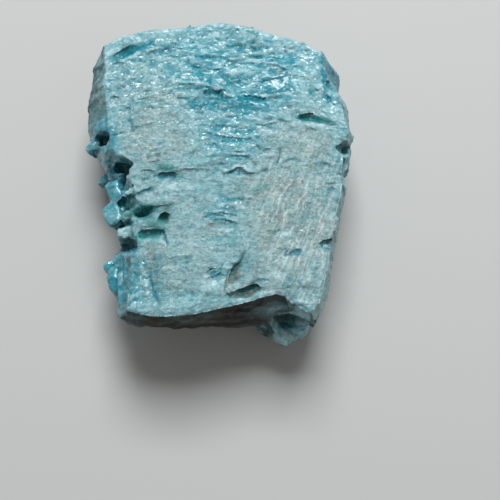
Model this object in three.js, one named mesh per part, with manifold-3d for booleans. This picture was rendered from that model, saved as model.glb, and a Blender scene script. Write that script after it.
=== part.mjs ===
// A hand-sized piece of rough blue-green apatite, as broken from the vein.
// It is one stone: a block of parallel cleavage plates that run west to east and stand on edge,
// broken off at slightly different heights, so that their ends make ledges, teeth and slots.
// Millimetres, +Z up. It lies as found, on a small flat part of its underside.
import * as THREE from "three";
import { mergeVertices } from "three/addons/utils/BufferGeometryUtils.js";
import Module from "manifold-3d";

// Driving dimensions of the whole stone.
const CROWN_HEIGHT = 11.6;
const NORTH_TO_SOUTH = 27;

// How finely it is faceted: columns from west to east, levels from base to rim,
// and cleavage plates from south to north.
const COLUMNS = 21;
const LEVELS = 7;
const PLATES = 19;

// The gap that shows between plates, and how far the plates lean to the north at mid-stone.
const PARTING_GAP = 0.09;
const PLATE_LEAN = 0.035;

// How far plates stand above their neighbours: in the south and middle, and in the upper zone.
const TOP_STEP = 0.17;
const UPPER_ZONE_STEP = 0.2;
const UPPER_ZONE = { from: 4, full: 9 };

// How far the plates' ends stand out beside each other: east and west ends, and the western teeth.
const EAST_STEP = 0.34;
const WEST_STEP = 0.2;
const TOOTH_STEP = 0.25;
const TEETH = { y: -0.5, reach: 5.5 };

// Unevenness of the top over a few plates, small chips on every face,
// the depth of the steps broken out of the north and south faces, and how many it is on average.
const TOP_WAVE = 0.16;
const CHIP = 0.1;
const FACE_STEP = 0.32;
const FACE_SET_IN = { south: 0.1, north: 1.6 };

// The underside: broad and fine hollows, how much of it is worn flat, and its rise to the edges.
const UNDERSIDE = { broad: 0.75, fine: 0.3, flat: 0.12, edgeRise: 3.4, middle: 0.72 };
const UNDERSIDE_REACH = { x: 8.5, y: 11 };

// How unlike a plain box, or a plain ball, the blocks and the lumps are.
const BLOCK_UNEVEN = 0.13;
const BLOCK_CORNER_WORN = 0.06;
const TOOTH_CORNER_WORN = 0.17;
const CORNER_LOBE_ROUGH = 0.3;

// How far a slot's cutting wedge stands above the surface, and the length of its steps.
const SLOT_COVER = 1.2;
const SLOT_STEP = 1.1;

// Points closer than this are the same corner.
const SAME_POINT = 1e-4;

// Heights of the three levels at which the outline is given, as a share of the full height.
const BASE_LEVEL = 0;
const BELLY_LEVEL = 0.45;
const RIM_LEVEL = 1;

// North and south edges of the broken top, as y against x.
const NORTH_RIM = [
  [-10.7, 12.9], [-9.6, 13.7], [-8.0, 14.3], [-6.3, 14.7], [-4.3, 14.9], [-2.0, 15.3],
  [-0.4, 15.6], [1.3, 15.4], [3.2, 15.0], [5.3, 14.4], [7.2, 13.7], [8.9, 12.8], [10.4, 11.9],
  [11.6, 11.2],
];
const SOUTH_RIM = [
  [-8.8, -11.9], [-7.6, -12.3], [-5.8, -12.7], [-3.6, -12.9], [-1.9, -12.7], [0.8, -12.0],
  [3.4, -11.3], [6.0, -10.8], [6.8, -11.7], [7.6, -12.2], [8.9, -12.8],
];
// The south edge without its notch: what the plates further in follow.
const SOUTH_TREND = [[-8.8, -12.0], [-3.0, -12.7], [2.0, -12.9], [8.6, -12.5]];

// East and west edges at three levels, as x against y.
const EAST_RIM = [
  [-12.9, 8.6], [-11.2, 9.3], [-8.6, 9.9], [-5.8, 10.3], [-2.8, 11.1], [-0.7, 11.3],
  [1.7, 11.4], [4.0, 11.9], [6.1, 11.5], [8.0, 10.7], [9.3, 9.9], [11.2, 9.8],
];
const EAST_BELLY = [
  [-12.9, 9.1], [-11.2, 9.9], [-8.6, 10.4], [-5.8, 10.9], [-2.8, 11.6], [-0.7, 11.9],
  [1.7, 12.0], [4.0, 12.7], [6.1, 12.4], [8.0, 11.9], [9.0, 11.3], [10.2, 11.8], [11.2, 11.8],
];
const EAST_BASE = [
  [-12.9, 7.4], [-8.6, 8.4], [-4.0, 9.4], [0.5, 10.3], [4.5, 10.9], [8.0, 10.2], [11.2, 8.6],
];
const WEST_RIM = [
  [-11.9, -8.0], [-9.5, -7.7], [-6.5, -7.6], [-4.6, -7.2], [-2.3, -7.2], [-0.4, -8.0],
  [0.87, -8.3], [0.97, -9.2], [1.8, -9.4], [3.2, -9.6], [5.7, -10.0], [7.0, -10.2], [9.9, -10.3],
  [12.7, -10.5],
];
const WEST_BELLY = [
  [-11.9, -8.8], [-10.2, -9.4], [-8.5, -9.7], [-6.5, -9.4], [-4.5, -8.8], [-2.5, -9.2],
  [-0.5, -9.7], [1.5, -10.6], [3.2, -11.6], [5.0, -12.3], [7.0, -12.5], [9.5, -12.3],
  [11.5, -11.9], [12.7, -11.2],
];
const WEST_BASE = [
  [-11.9, -7.0], [-8.5, -8.2], [-4.5, -7.8], [0.0, -8.6], [4.5, -10.6], [8.5, -10.8], [12.7, -9.2],
];

// How far the north and south faces lean out past the rim, at the belly and at the base.
const NORTH_BELLY_OUT = 0.3;
const NORTH_BASE_OUT = -1.7;
const SOUTH_BELLY_OUT = 0.45;
const SOUTH_BASE_OUT = -1.1;

// The levels between which the notch in the south rim opens.
const NOTCH = { from: 0.5, full: 0.97 };

// Broad shape of the top: [x, y, height change, reach in x, reach in y].
const TOP_SWELLS = [
  [-1.0, 3.5, 0.45, 8, 5],
  [0.0, 15.5, -1.5, 16, 6.0],
  [-9.5, 10.0, -0.5, 3, 8],
  [-3.0, -7.5, 0.3, 5, 4],
  [-8.8, -8.6, -1.4, 2.4, 4.2],
  [-5.6, -9.6, -0.45, 0.7, 2.8],
  [9.0, -4.0, -0.35, 4, 9],
  [11.6, 9.4, -1.0, 2.0, 2.6],
  [2.6, 8.4, -0.42, 3.6, 1.6],
  [2.2, -9.5, -0.55, 1.6, 2.0],
  [6.5, -9.5, 0.15, 3.0, 3.0],
];

// Gaps between the western teeth, cut before the teeth are set in: middle of the mouth,
// its height, length, width, depth, turn from east, and how far the floor runs back under the lip.
const TOOTH_GAPS = [
  { x: -10.7, y: 3.8, z: 9.8, length: 2.3, width: 1.3, depth: 4.4, turn: 12, under: 0.3 },
  { x: -11.9, y: 2.9, z: 7.8, length: 1.8, width: 1.6, depth: 3.6, turn: 14, under: 0.4 },
  { x: -8.7, y: 0.9, z: 11.3, length: 2.7, width: 1.1, depth: 6.2, turn: 6, under: 0.5 },
  { x: -8.9, y: 0.2, z: 11.2, length: 2.7, width: 1.7, depth: 6.6, turn: -100, under: 0.5 },
  { x: -8.2, y: -1.9, z: 10.9, length: 2.2, width: 1.1, depth: 3.4, turn: 35, under: 0.3 },
  { x: -8.6, y: -6.3, z: 9.8, length: 3.4, width: 1.5, depth: 4.8, turn: 8, under: 0.7 },
];

// Smooth, worn teeth of the west side and the rounded columns at its southern end:
// middle of the top, height of top and bottom, length, width, turn from east and slope in degrees.
const TEETH_STANDING = [
  { x: -10.4, y: 5.0, top: 10.8, bottom: 6.4, length: 2.7, width: 1.3, turn: 24, tip: 16, roll: 8 },
  { x: -11.85, y: 3.8, top: 8.0, bottom: 3.4, length: 2.0, width: 1.1, turn: 24, tip: 14, roll: 0 },
  { x: -9.75, y: 3.0, top: 10.8, bottom: 5.0, length: 2.5, width: 0.9, turn: 56, tip: 30, roll: 0 },
  { x: -10.0, y: 2.1, top: 9.3, bottom: 4.0, length: 1.7, width: 1.1, turn: 30, tip: 20, roll: 0 },
  { x: -9.8, y: 1.1, top: 8.1, bottom: 3.0, length: 1.9, width: 1.1, turn: 60, tip: 16, roll: 0 },
  { x: -10.8, y: 1.3, top: 5.8, bottom: 1.8, length: 2.4, width: 1.1, turn: 30, tip: 12, roll: 0 },
  { x: -8.6, y: -6.9, top: 8.3, bottom: 2.0, length: 2.6, width: 1.8, turn: 10, tip: 14, roll: 0 },
  { x: -10.1, y: -7.5, top: 7.0, bottom: 1.6, length: 1.2, width: 1.8, turn: 12, tip: 10, roll: 6 },
  { x: -9.4, y: -8.7, top: 7.9, bottom: 1.6, length: 1.8, width: 3.2, turn: -6, tip: 14, roll: -4 },
  { x: -8.4, y: -9.7, top: 9.1, bottom: 2.0, length: 1.9, width: 4.0, turn: 6, tip: 12, roll: -4 },
  { x: -7.6, y: -8.5, top: 10.0, bottom: 3.0, length: 2.1, width: 3.8, turn: 4, tip: 9, roll: 0 },
];

// Blocks that stand out of the west side and the east edge, given as the teeth are.
const BLOCKS = [
  { x: -9.5, y: -1.0, top: 9.3, bottom: 3.4, length: 1.4, width: 2.1, turn: 26, tip: 24, roll: 9 },
  { x: -9.75, y: -2.95, top: 9.0, bottom: 2.8, length: 1.9, width: 2.3, turn: 25, tip: 19, roll: -8 },
  { x: -7.9, y: -1.3, top: 10.9, bottom: 6.0, length: 1.3, width: 0.5, turn: 20, tip: 6, roll: -10 },
  { x: -7.5, y: -3.0, top: 10.4, bottom: 5.0, length: 3.0, width: 0.75, turn: 16, tip: 10, roll: -12 },
  { x: -5.6, y: -3.6, top: 11.1, bottom: 6.5, length: 1.5, width: 0.85, turn: 8, tip: 6, roll: -14 },
  { x: -8.1, y: -4.85, top: 10.2, bottom: 4.6, length: 2.2, width: 1.1, turn: 3, tip: 3, roll: -2 },
  { x: -6.1, y: -4.5, top: 10.9, bottom: 5.6, length: 2.2, width: 0.6, turn: 12, tip: 7, roll: -10 },
  { x: 7.0, y: -11.1, top: 6.7, bottom: 0.5, length: 3.0, width: 3.4, turn: 20, tip: -6, roll: 12 },
  { x: 6.7, y: -11.8, top: 5.2, bottom: 0.7, length: 3.2, width: 2.4, turn: -14, tip: 8, roll: 10 },
  { x: 11.3, y: 1.4, top: 9.6, bottom: 5.0, length: 1.5, width: 1.0, turn: -24, tip: -12, roll: 8 },
];

// Openings between plates, steep on the north and sloping up to the south, given as the gaps are.
const SLOTS = [
  { x: -6.9, y: -3.55, z: 11.3, length: 5.0, width: 0.8, depth: 2.9, turn: 15, under: 0.5 },
  { x: -4.65, y: -3.9, z: 11.3, length: 1.3, width: 0.9, depth: 1.8, turn: 20, under: 0.25 },
  { x: -6.0, y: -5.35, z: 11.1, length: 2.9, width: 0.75, depth: 2.3, turn: 14, under: 0.5 },
  { x: -4.4, y: -0.45, z: 11.9, length: 2.9, width: 0.95, depth: 1.1, turn: 3, under: 0.35 },
  { x: -2.4, y: 0.2, z: 12.0, length: 3.4, width: 0.3, depth: 0.5, turn: 5, under: 0.2 },
  { x: -6.2, y: 0.3, z: 11.8, length: 1.5, width: 0.4, depth: 0.6, turn: -20, under: 0.2 },
  { x: -6.1, y: -1.5, z: 11.6, length: 2.2, width: 0.5, depth: 0.7, turn: 20, under: 0.2 },
  { x: 1.8, y: 0.1, z: 12.0, length: 2.6, width: 0.6, depth: 0.9, turn: -8, under: 0.3 },
  { x: 0.8, y: -4.3, z: 12.0, length: 2.5, width: 0.45, depth: 0.7, turn: -2, under: 0.25 },
  { x: 8.3, y: 5.1, z: 11.8, length: 3.9, width: 0.65, depth: 1.4, turn: -10, under: 0.5 },
  { x: 4.9, y: 4.8, z: 11.9, length: 4.0, width: 0.6, depth: 0.8, turn: 8, under: 0.2 },
  { x: 3.4, y: 6.9, z: 11.7, length: 3.4, width: 1.2, depth: 1.1, turn: 4, under: 0.2 },
  { x: -0.2, y: 7.4, z: 11.7, length: 3.0, width: 1.2, depth: 1.0, turn: -6, under: 0.2 },
  { x: 5.7, y: 8.1, z: 11.5, length: 3.8, width: 0.8, depth: 1.0, turn: 14, under: 0.3 },
  { x: -1.6, y: 6.8, z: 11.8, length: 1.9, width: 0.9, depth: 0.8, turn: 24, under: 0.2 },
  { x: -8.1, y: 12.3, z: 10.5, length: 4.6, width: 0.8, depth: 0.9, turn: 22, under: 0.2 },
  { x: -0.1, y: -9.0, z: 11.7, length: 2.0, width: 0.8, depth: 0.9, turn: 12, under: 0.3 },
  { x: 2.0, y: -9.0, z: 11.4, length: 4.2, width: 1.1, depth: 0.6, turn: 60, under: 0.1 },
  { x: 2.6, y: -10.7, z: 11.3, length: 4.0, width: 0.8, depth: 1.5, turn: 13, under: 0.4 },
  { x: 6.4, y: -7.0, z: 11.5, length: 1.9, width: 0.5, depth: 0.7, turn: 18, under: 0.3 },
  { x: 9.9, y: -6.2, z: 11.0, length: 1.8, width: 0.6, depth: 1.5, turn: 12, under: 0.3 },
  { x: 11.9, y: 2.8, z: 10.6, length: 2.2, width: 1.0, depth: 3.6, turn: 2, under: 0.4 },
  { x: 10.5, y: 8.9, z: 10.9, length: 1.3, width: 0.9, depth: 2.2, turn: 40, under: 0.3 },
  { x: -5.4, y: -10.6, z: 11.35, length: 3.2, width: 0.3, depth: 0.45, turn: 104, under: 0.05 },
];

// The low lobe at the south-east corner, and the hollow between it and the top's edge.
const LOBE = { x: 6.3, y: -12.0, z: 3.4, length: 2.6, width: 2.4, height: 3.1 };
const HOLLOW = { x: 7.0, y: -13.3, z: 7.7, length: 2.6, width: 1.9, height: 2.3 };

const wasm = await Module();
wasm.setup();

const { lerp, clamp, smoothstep, degToRad } = THREE.MathUtils;

// A repeatable number from 0 to 1 for a corner of the noise grid.
function scatter(i, j, k) {
  const h = Math.sin(i * 127.1 + j * 311.7 + k * 74.7) * 43758.5453;
  return h - Math.floor(h);
}

// Smooth noise from -1 to 1 over space.
function roughness(x, y, z) {
  const [i, j, k] = [Math.floor(x), Math.floor(y), Math.floor(z)];
  const ease = (a) => a * a * (3 - 2 * a);
  const [fx, fy, fz] = [ease(x - i), ease(y - j), ease(z - k)];
  const edge = (dj, dk) => lerp(scatter(i, j + dj, k + dk), scatter(i + 1, j + dj, k + dk), fx);
  return 2 * lerp(lerp(edge(0, 0), edge(1, 0), fy), lerp(edge(0, 1), edge(1, 1), fy), fz) - 1;
}

// A smooth function through [key, value] pairs, level past both ends.
function through(points) {
  const last = points.length - 1;
  const slope = (m) => {
    const [a, b] = [points[Math.max(m - 1, 0)], points[Math.min(m + 1, last)]];
    return (b[1] - a[1]) / (b[0] - a[0]);
  };
  return (key) => {
    if (key <= points[0][0]) return points[0][1];
    if (key >= points[last][0]) return points[last][1];
    const n = points.findIndex((p) => p[0] > key) - 1;
    const [k0, v0] = points[n];
    const [k1, v1] = points[n + 1];
    const span = k1 - k0;
    const f = (key - k0) / span;
    const [f2, f3] = [f * f, f * f * f];
    return (2 * f3 - 3 * f2 + 1) * v0 + (f3 - 2 * f2 + f) * span * slope(n)
      + (3 * f2 - 2 * f3) * v1 + (f3 - f2) * span * slope(n + 1);
  };
}

const northRim = through(NORTH_RIM);
const southRim = through(SOUTH_RIM);
const southTrend = through(SOUTH_TREND);
const east = { rim: through(EAST_RIM), belly: through(EAST_BELLY), base: through(EAST_BASE) };
const west = { rim: through(WEST_RIM), belly: through(WEST_BELLY), base: through(WEST_BASE) };

// A value between the three levels of an outline.
function atLevel(rim, belly, base, w) {
  return through([[BASE_LEVEL, base], [BELLY_LEVEL, belly], [RIM_LEVEL, rim]])(w);
}

// Height of the broken top, before the plates are stepped.
function topHeight(x, y) {
  let z = CROWN_HEIGHT;
  for (const [cx, cy, rise, reachX, reachY] of TOP_SWELLS) {
    z += rise * Math.exp(-(((x - cx) / reachX) ** 2) - ((y - cy) / reachY) ** 2);
  }
  return z + TOP_WAVE * roughness(x / 3.1 + 5, y / 2.6, 3);
}

// How far one plate's broken edge stands above or below its neighbours'.
function plateStep(x, y, plate) {
  const upper = smoothstep(y, UPPER_ZONE.from, UPPER_ZONE.full);
  const broken = 0.25 + 1.5 * Math.max(0, 0.3 + roughness(x / 4.1 + 3, y / 3.6, 31));
  const ragged = roughness(x / 2.4, plate * 9.1, 2) + 0.5 * roughness(x / 1.1, plate * 3.7, 5);
  return lerp(TOP_STEP, UPPER_ZONE_STEP, upper) * broken * ragged;
}

// Height of the underside: hollows round a flat part at zero.
function baseHeight(x, y) {
  const out = Math.hypot(x / UNDERSIDE_REACH.x, (y - 0.5) / UNDERSIDE_REACH.y);
  const edge = Math.max(0, out - UNDERSIDE.middle);
  const hollows = UNDERSIDE.broad * roughness(x / 4.3 + 9, y / 3.9 + 2, 7)
    + UNDERSIDE.fine * roughness(x / 1.7, y / 1.6, 1);
  return Math.max(0, hollows - UNDERSIDE.flat + UNDERSIDE.edgeRise * edge);
}

// How far a point of the north or south face is set in by the steps broken out of it.
function endFaceStep(x, z, t) {
  const atEnd = t < 0.03 || t > 0.97;
  if (!atEnd) return 0;
  const broken = roughness(x / 3.7 + 2, z / 2.6, t * 17) + 0.5 * roughness(x / 1.9, z / 1.6, t * 9 + 4);
  const south = t < 0.5;
  const steps = Math.round((south ? FACE_SET_IN.south : FACE_SET_IN.north) + 2 * broken);
  return FACE_STEP * steps * (south ? 1 : -1);
}

// Where the plates part, from south to north as shares of the stone's length.
function partings() {
  const thickness = Array.from({ length: PLATES }, (_, k) => 0.6 + scatter(k, 4, 9));
  const whole = thickness.reduce((a, b) => a + b);
  let sum = 0;
  return [0, ...thickness.map((a) => (sum += a) / whole)];
}

const PARTINGS = partings();

// The share of the way from south to north of one row of points. Rows come in pairs,
// the southern and the northern edge of one plate.
function northing(row, w) {
  const gap = PARTING_GAP / NORTH_TO_SOUTH / 2;
  const flat = PARTINGS[Math.floor(row / 2) + (row % 2)] + (row % 2 ? -gap : gap);
  return clamp(flat + PLATE_LEAN * (w - 1) * 4 * flat * (1 - flat), 0, 1);
}

// Box coordinates, each 0 to 1, moved to a point of the stone.
// The two rows of points of one plate share its steps.
function place(u, row, w) {
  const plate = Math.floor(row / 2);
  const t = northing(row, w);
  const westY = lerp(WEST_RIM[0][0], WEST_RIM.at(-1)[0], t);
  const eastY = lerp(EAST_RIM[0][0], EAST_RIM.at(-1)[0], t);
  const toothed = Math.exp(-(((westY - TEETH.y) / TEETH.reach) ** 2));
  const westX = atLevel(west.rim(westY), west.belly(westY), west.base(westY), w)
    + lerp(WEST_STEP, TOOTH_STEP, toothed) * roughness(plate * 7.3, w * 2.1, 11);
  const eastX = atLevel(east.rim(eastY), east.belly(eastY), east.base(eastY), w)
    + EAST_STEP * roughness(plate * 5.7, w * 2.4, 23);

  // The notch in the south rim fades out over the first few plates, and down the south face.
  const x = lerp(westX, eastX, u);
  const open = (1 - t) ** 6 * smoothstep(w, NOTCH.from, NOTCH.full);
  const notch = (southRim(x) - southTrend(x)) * open;
  const north = northRim(x) + atLevel(0, NORTH_BELLY_OUT, NORTH_BASE_OUT, w);
  const south = southTrend(x) - atLevel(0, SOUTH_BELLY_OUT, SOUTH_BASE_OUT, w);
  const y = lerp(south, north, t) + notch;
  const bottom = baseHeight(x, y);
  const z = lerp(bottom, topHeight(x, y) + plateStep(x, y, plate), w);

  // Chips on every broken face; the flat part that it lies on stays flat.
  const chip = CHIP * (bottom === 0 ? w : 1);
  const belowRim = smoothstep(1 - w, 0.05, 0.25);
  return [
    x + chip * roughness(x / 0.9 + 8, y / 0.9, z / 0.9),
    y + 0.6 * chip * roughness(x / 1.3, z / 1.2, plate + 40) + endFaceStep(x, z, t) * belowRim,
    Math.max(z + chip * roughness(x / 0.9, y / 0.9, z + 60), 0),
  ];
}

// Moves every point of a geometry to where a function of its coordinates says.
function reshape(geometry, move) {
  const spot = geometry.attributes.position;
  for (let i = 0; i < spot.count; i++) {
    spot.setXYZ(i, ...move(spot.getX(i), spot.getY(i), spot.getZ(i)));
  }
  return geometry;
}

// A closed three.js geometry as a solid for joining and cutting.
function solid(geometry) {
  const bare = geometry.clone().deleteAttribute("normal").deleteAttribute("uv");
  const merged = mergeVertices(bare, SAME_POINT);
  return new wasm.Manifold(new wasm.Mesh({
    numProp: 3,
    vertProperties: new Float32Array(merged.attributes.position.array),
    triVerts: new Uint32Array(merged.index.array),
  }));
}

// A solid back as a three.js geometry.
function geometryOf(body) {
  const mesh = body.getMesh();
  const geometry = new THREE.BufferGeometry();
  geometry.setAttribute("position", new THREE.BufferAttribute(mesh.vertProperties, mesh.numProp));
  geometry.setIndex(new THREE.BufferAttribute(mesh.triVerts, 1));
  geometry.computeVertexNormals();
  return geometry;
}

// The stack of plates, as one box whose points are moved into place.
function plateStack() {
  const rows = 2 * PLATES - 1;
  const box = new THREE.BoxGeometry(1, 1, 1, COLUMNS, rows, LEVELS);
  return solid(reshape(box, (x, y, z) => place(x + 0.5, Math.round((y + 0.5) * rows), z + 0.5)));
}

// A broken block: a box with its corners and edges knocked off unevenly, turned and sloped.
function block({ x, y, top, bottom, length, width, turn, tip, roll }, worn, seed) {
  const height = top - bottom;
  const box = reshape(new THREE.BoxGeometry(2, 2, 2, 2, 2, 2), (px, py, pz) => {
    const corner = Math.abs(px) + Math.abs(py) + Math.abs(pz) - 1;
    const uneven = (n) => 1 - worn * corner
      + BLOCK_UNEVEN * roughness(px * 0.9 + seed, py * 0.9, pz * 0.9 + n);
    const upright = 1 - (1 - uneven(13)) * 0.35;
    return [(px * uneven(1) * length) / 2, (py * uneven(7) * width) / 2, (pz * upright * height) / 2];
  });
  box.translate(0, 0, -height / 2).rotateY(degToRad(-tip)).rotateX(degToRad(roll));
  return solid(box.rotateZ(degToRad(turn)).translate(x, y, top));
}

// A wedge that narrows to both ends, with a ragged lip on its steep side.
function slot({ x, y, z, length, width, depth, turn, under }) {
  const steps = Math.max(3, Math.round(length / SLOT_STEP));
  const wedge = reshape(new THREE.BoxGeometry(2, 2, 2, steps, 1, 1), (along, across, up) => {
    const taper = Math.max(0.08, 1 - Math.abs(along) ** 1.7);
    const half = (width / 2) * taper;
    const lip = half * (1 + 0.7 * roughness(along * 2.3 + x, y, 5));
    const shallow = -half * (1 + 0.5 * roughness(along * 1.9 + y, x, 8));
    const floor = -depth * taper * (1 + 0.3 * roughness(along * 2.1, x, y));
    const back = lip + under * taper;
    const steep = across > 0;
    const high = steep ? lip : shallow + ((shallow - back) * SLOT_COVER) / -floor;
    const low = steep ? back : back - 0.2 * half;
    return [along * (length / 2), up > 0 ? high : low, up > 0 ? SLOT_COVER : floor];
  });
  return solid(wedge.rotateZ(degToRad(turn)).translate(x, y, z));
}

// A rounded, chipped lump, for the lobes and for the hollows that are cut.
// It never reaches below the level that the stone lies on.
function lump({ x, y, z, length, width, height }, detail, rough) {
  const ball = new THREE.IcosahedronGeometry(1, detail);
  return solid(reshape(ball, (px, py, pz) => {
    const swell = 1 + rough * roughness(px * 2.2 + 3, py * 2.2, pz * 2.2);
    return [x + px * length * swell, y + py * width * swell, Math.max(z + pz * height * swell, 0)];
  }));
}

// The stone: plates with gaps cut for the teeth, then teeth and blocks joined on,
// then slots and hollows cut out and the corner lobe added.
// Splinters that the cuts leave loose are dropped.
function stone() {
  let body = plateStack();
  for (const g of TOOTH_GAPS) body = body.subtract(slot(g));
  TEETH_STANDING.forEach((t, n) => {
    body = body.add(block(t, TOOTH_CORNER_WORN, n * 4.1));
  });
  BLOCKS.forEach((b, n) => {
    body = body.add(block(b, BLOCK_CORNER_WORN, n * 5.3));
  });
  body = body.add(lump(LOBE, 3, CORNER_LOBE_ROUGH));
  body = body.subtract(lump(HOLLOW, 2, CORNER_LOBE_ROUGH));
  for (const s of SLOTS) body = body.subtract(slot(s));
  return body.decompose().reduce((a, b) => (b.volume() > a.volume() ? b : a));
}

// Moves the stone so that the middle of its box, at its lowest level, is the origin.
function onItsBase(geometry) {
  geometry.computeBoundingBox();
  const { min, max } = geometry.boundingBox;
  return geometry.translate(-(min.x + max.x) / 2, -(min.y + max.y) / 2, -min.z);
}

const apatiteFinish = new THREE.MeshStandardMaterial({
  color: new THREE.Color(0.42, 0.66, 0.68),
  roughness: 0.55,
  metalness: 0,
  flatShading: true,
});

const crystal = new THREE.Mesh(onItsBase(geometryOf(stone())), apatiteFinish);
crystal.name = "apatite_crystal";

const specimen = new THREE.Group();
specimen.name = "rough_apatite";
specimen.add(crystal);

export default specimen;
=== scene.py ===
"""Looks of a rough apatite: one stone of upright cleavage plates, broken level on top.

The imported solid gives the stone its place, its size and its main forms: the ledges, the teeth and
slots of the west side, and the low lobes. This script remeshes a copy of that solid, breaks its
surface into fine plates, chips and fibres, and gives it a translucent blue-green finish.

Lengths are in millimetres unless a name ends in _M, which is metres, as Blender's own units are.
+X runs along the plates to the east, +Y across them to the north, and +Z up.
"""

import logging
import math
from dataclasses import dataclass
from enum import Enum
from itertools import product
from typing import Any

import bmesh
import bpy
import numpy as np
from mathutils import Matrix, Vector
from mathutils.bvhtree import BVHTree
from numpy.typing import NDArray


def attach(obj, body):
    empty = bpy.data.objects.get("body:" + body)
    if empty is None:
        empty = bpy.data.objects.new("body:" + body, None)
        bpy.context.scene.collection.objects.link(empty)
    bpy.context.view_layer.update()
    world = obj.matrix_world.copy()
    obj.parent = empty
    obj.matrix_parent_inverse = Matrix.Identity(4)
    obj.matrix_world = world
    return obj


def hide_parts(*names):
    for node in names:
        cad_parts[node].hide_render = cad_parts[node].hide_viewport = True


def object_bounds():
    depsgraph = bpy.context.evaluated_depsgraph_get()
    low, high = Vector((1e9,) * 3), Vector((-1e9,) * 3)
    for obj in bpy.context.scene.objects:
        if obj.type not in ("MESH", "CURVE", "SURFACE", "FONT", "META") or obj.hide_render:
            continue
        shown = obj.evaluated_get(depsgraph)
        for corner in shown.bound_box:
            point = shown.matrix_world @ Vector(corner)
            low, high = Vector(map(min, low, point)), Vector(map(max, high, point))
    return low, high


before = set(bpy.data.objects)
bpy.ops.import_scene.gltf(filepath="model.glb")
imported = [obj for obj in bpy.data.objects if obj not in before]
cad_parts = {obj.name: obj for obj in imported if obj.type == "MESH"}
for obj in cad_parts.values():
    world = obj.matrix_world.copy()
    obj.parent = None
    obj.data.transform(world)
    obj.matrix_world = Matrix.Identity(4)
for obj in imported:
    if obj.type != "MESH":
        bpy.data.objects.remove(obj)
CAD_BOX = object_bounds()

Array = NDArray[np.float64]
log = logging.getLogger("rough_apatite")

NODE = "apatite_crystal"
BODY = "root"
MM_M = 0.001
HASH_STEPS = (73856093, 19349663, 83492791)
HASH_SEED = 2654435761
HASH_MIX = 0x45D9F3B
WORD = 0xFFFFFFFF

# Shares of a ledge's drop by which its high side stands up and its low side sinks.
LEDGE_LIFT = 0.26
LEDGE_SINK = 0.39

# How dark the painted shade in a furrow is, and the share of its width that it covers.
FURROW_SHADE = 0.6
FURROW_SHADE_WIDTH = 0.6


class Habit(Enum):
    """How the broken surface looks in one zone of the stone."""

    GLASSY = "glassy"
    MATTE = "matte"
    FIBROUS = "fibrous"
    CLEAR = "clear"


class Tint(Enum):
    """What a patch of colour adds to the stone's common blue-green."""

    DEEP = "deep"
    PALE = "pale"
    GREY = "grey"
    STAIN = "stain"
    # Painted shade: the deep teal of shaded slot walls.
    SLOT_SHADE = "teal"
    # Painted shade in the hollow between the rim and the lobe.
    DARK = "dark"


@dataclass(frozen=True)
class Cells:
    """The broken pieces that a set of points falls in.

    Attributes:
        lot: three repeatable numbers from 0 to 1 for each point's piece.
        offset: each point's place from the heart of its piece, in piece sizes.
    """

    lot: Array
    offset: Array


@dataclass(frozen=True)
class Grain:
    """Repeatable noise over space, from one seed.

    Attributes:
        seed: number that makes this noise differ from others.
    """

    seed: int

    def lots(self, corner: Array, channels: int = 3) -> Array:
        """Draw repeatable numbers for the corners of a whole-number grid.

        Args:
            corner: whole-number grid places, one row for each point.
            channels: how many numbers each place gets.

        Returns:
            Numbers from 0 to 1, one row for each place.
        """
        east, north, up = (corner.astype(np.int64) * HASH_STEPS).T
        drawn = []
        for channel in range(channels):
            start = (self.seed * 97 + channel * 1013 + 1) * HASH_SEED
            mixed = (east ^ north ^ up ^ start) & WORD
            for _ in range(2):
                mixed ^= mixed >> 16
                mixed = (mixed * HASH_MIX) & WORD
            drawn.append((mixed ^ (mixed >> 16)) / (WORD + 1.0))
        return np.stack(drawn, axis=1)

    def smooth(self, points: Array, size: float | tuple[float, float, float]) -> Array:
        """Give smooth noise from -1 to 1.

        Args:
            points: places in millimetres.
            size: length of one wave, the same or different along X, Y and Z.

        Returns:
            One value for each point.
        """
        scaled = points / np.asarray(size)
        low = np.floor(scaled)
        ease = scaled - low
        ease = ease * ease * (3.0 - 2.0 * ease)
        total = np.zeros(len(points))
        for step in product((0, 1), repeat=3):
            share = np.prod(np.where(step, ease, 1.0 - ease), axis=1)
            total += share * self.lots(low + step, 1)[:, 0]
        return 2.0 * total - 1.0

    def rough(self, points: Array, size: float | tuple[float, float, float], octaves: int) -> Array:
        """Add up finer and finer smooth noise.

        Args:
            points: places in millimetres.
            size: length of the longest wave.
            octaves: how many halvings are added.

        Returns:
            One value for each point, mostly between -1 and 1.
        """
        total = np.zeros(len(points))
        for octave in range(octaves):
            total += 0.5**octave * self.smooth(points + 7.3 * octave, np.asarray(size) * 0.5**octave)
        return total

    def warp(self, points: Array, size: float, reach: float) -> Array:
        """Shift points by smooth noise, so that what is drawn there gets ragged.

        Args:
            points: places in millimetres.
            size: length of one wave.
            reach: largest shift along each axis.

        Returns:
            The shifted places.
        """
        shift = [self.smooth(points + 31.0 * (axis + 1), size) for axis in range(3)]
        return points + reach * np.stack(shift, axis=1)

    def cells(self, points: Array, size: tuple[float, float, float]) -> Cells:
        """Break space into uneven pieces and say which one each point is in.

        Args:
            points: places in millimetres.
            size: mean size of a piece along X, Y and Z.

        Returns:
            The pieces that the points are in.
        """
        scaled = points / np.asarray(size)
        home = np.floor(scaled)
        nearest = np.full(len(points), np.inf)
        offset = np.zeros_like(scaled)
        owner = home.copy()
        for step in product((-1, 0, 1), repeat=3):
            cell = home + step
            away = scaled - cell - self.lots(cell)
            gap = np.einsum("ij,ij->i", away, away)
            closer = gap < nearest
            nearest = np.where(closer, gap, nearest)
            offset[closer] = away[closer]
            owner[closer] = cell[closer]
        lot = Grain(self.seed + 500).lots(owner)
        return Cells(lot, offset)


def ramp(values: Array, low: float, high: float) -> Array:
    """Rise smoothly from 0 at low to 1 at high.

    Args:
        values: numbers to be mapped.
        low: value that gives 0.
        high: value that gives 1.

    Returns:
        One number from 0 to 1 for each value.
    """
    share = np.clip((values - low) / (high - low), 0.0, 1.0)
    return share * share * (3.0 - 2.0 * share)


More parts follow.
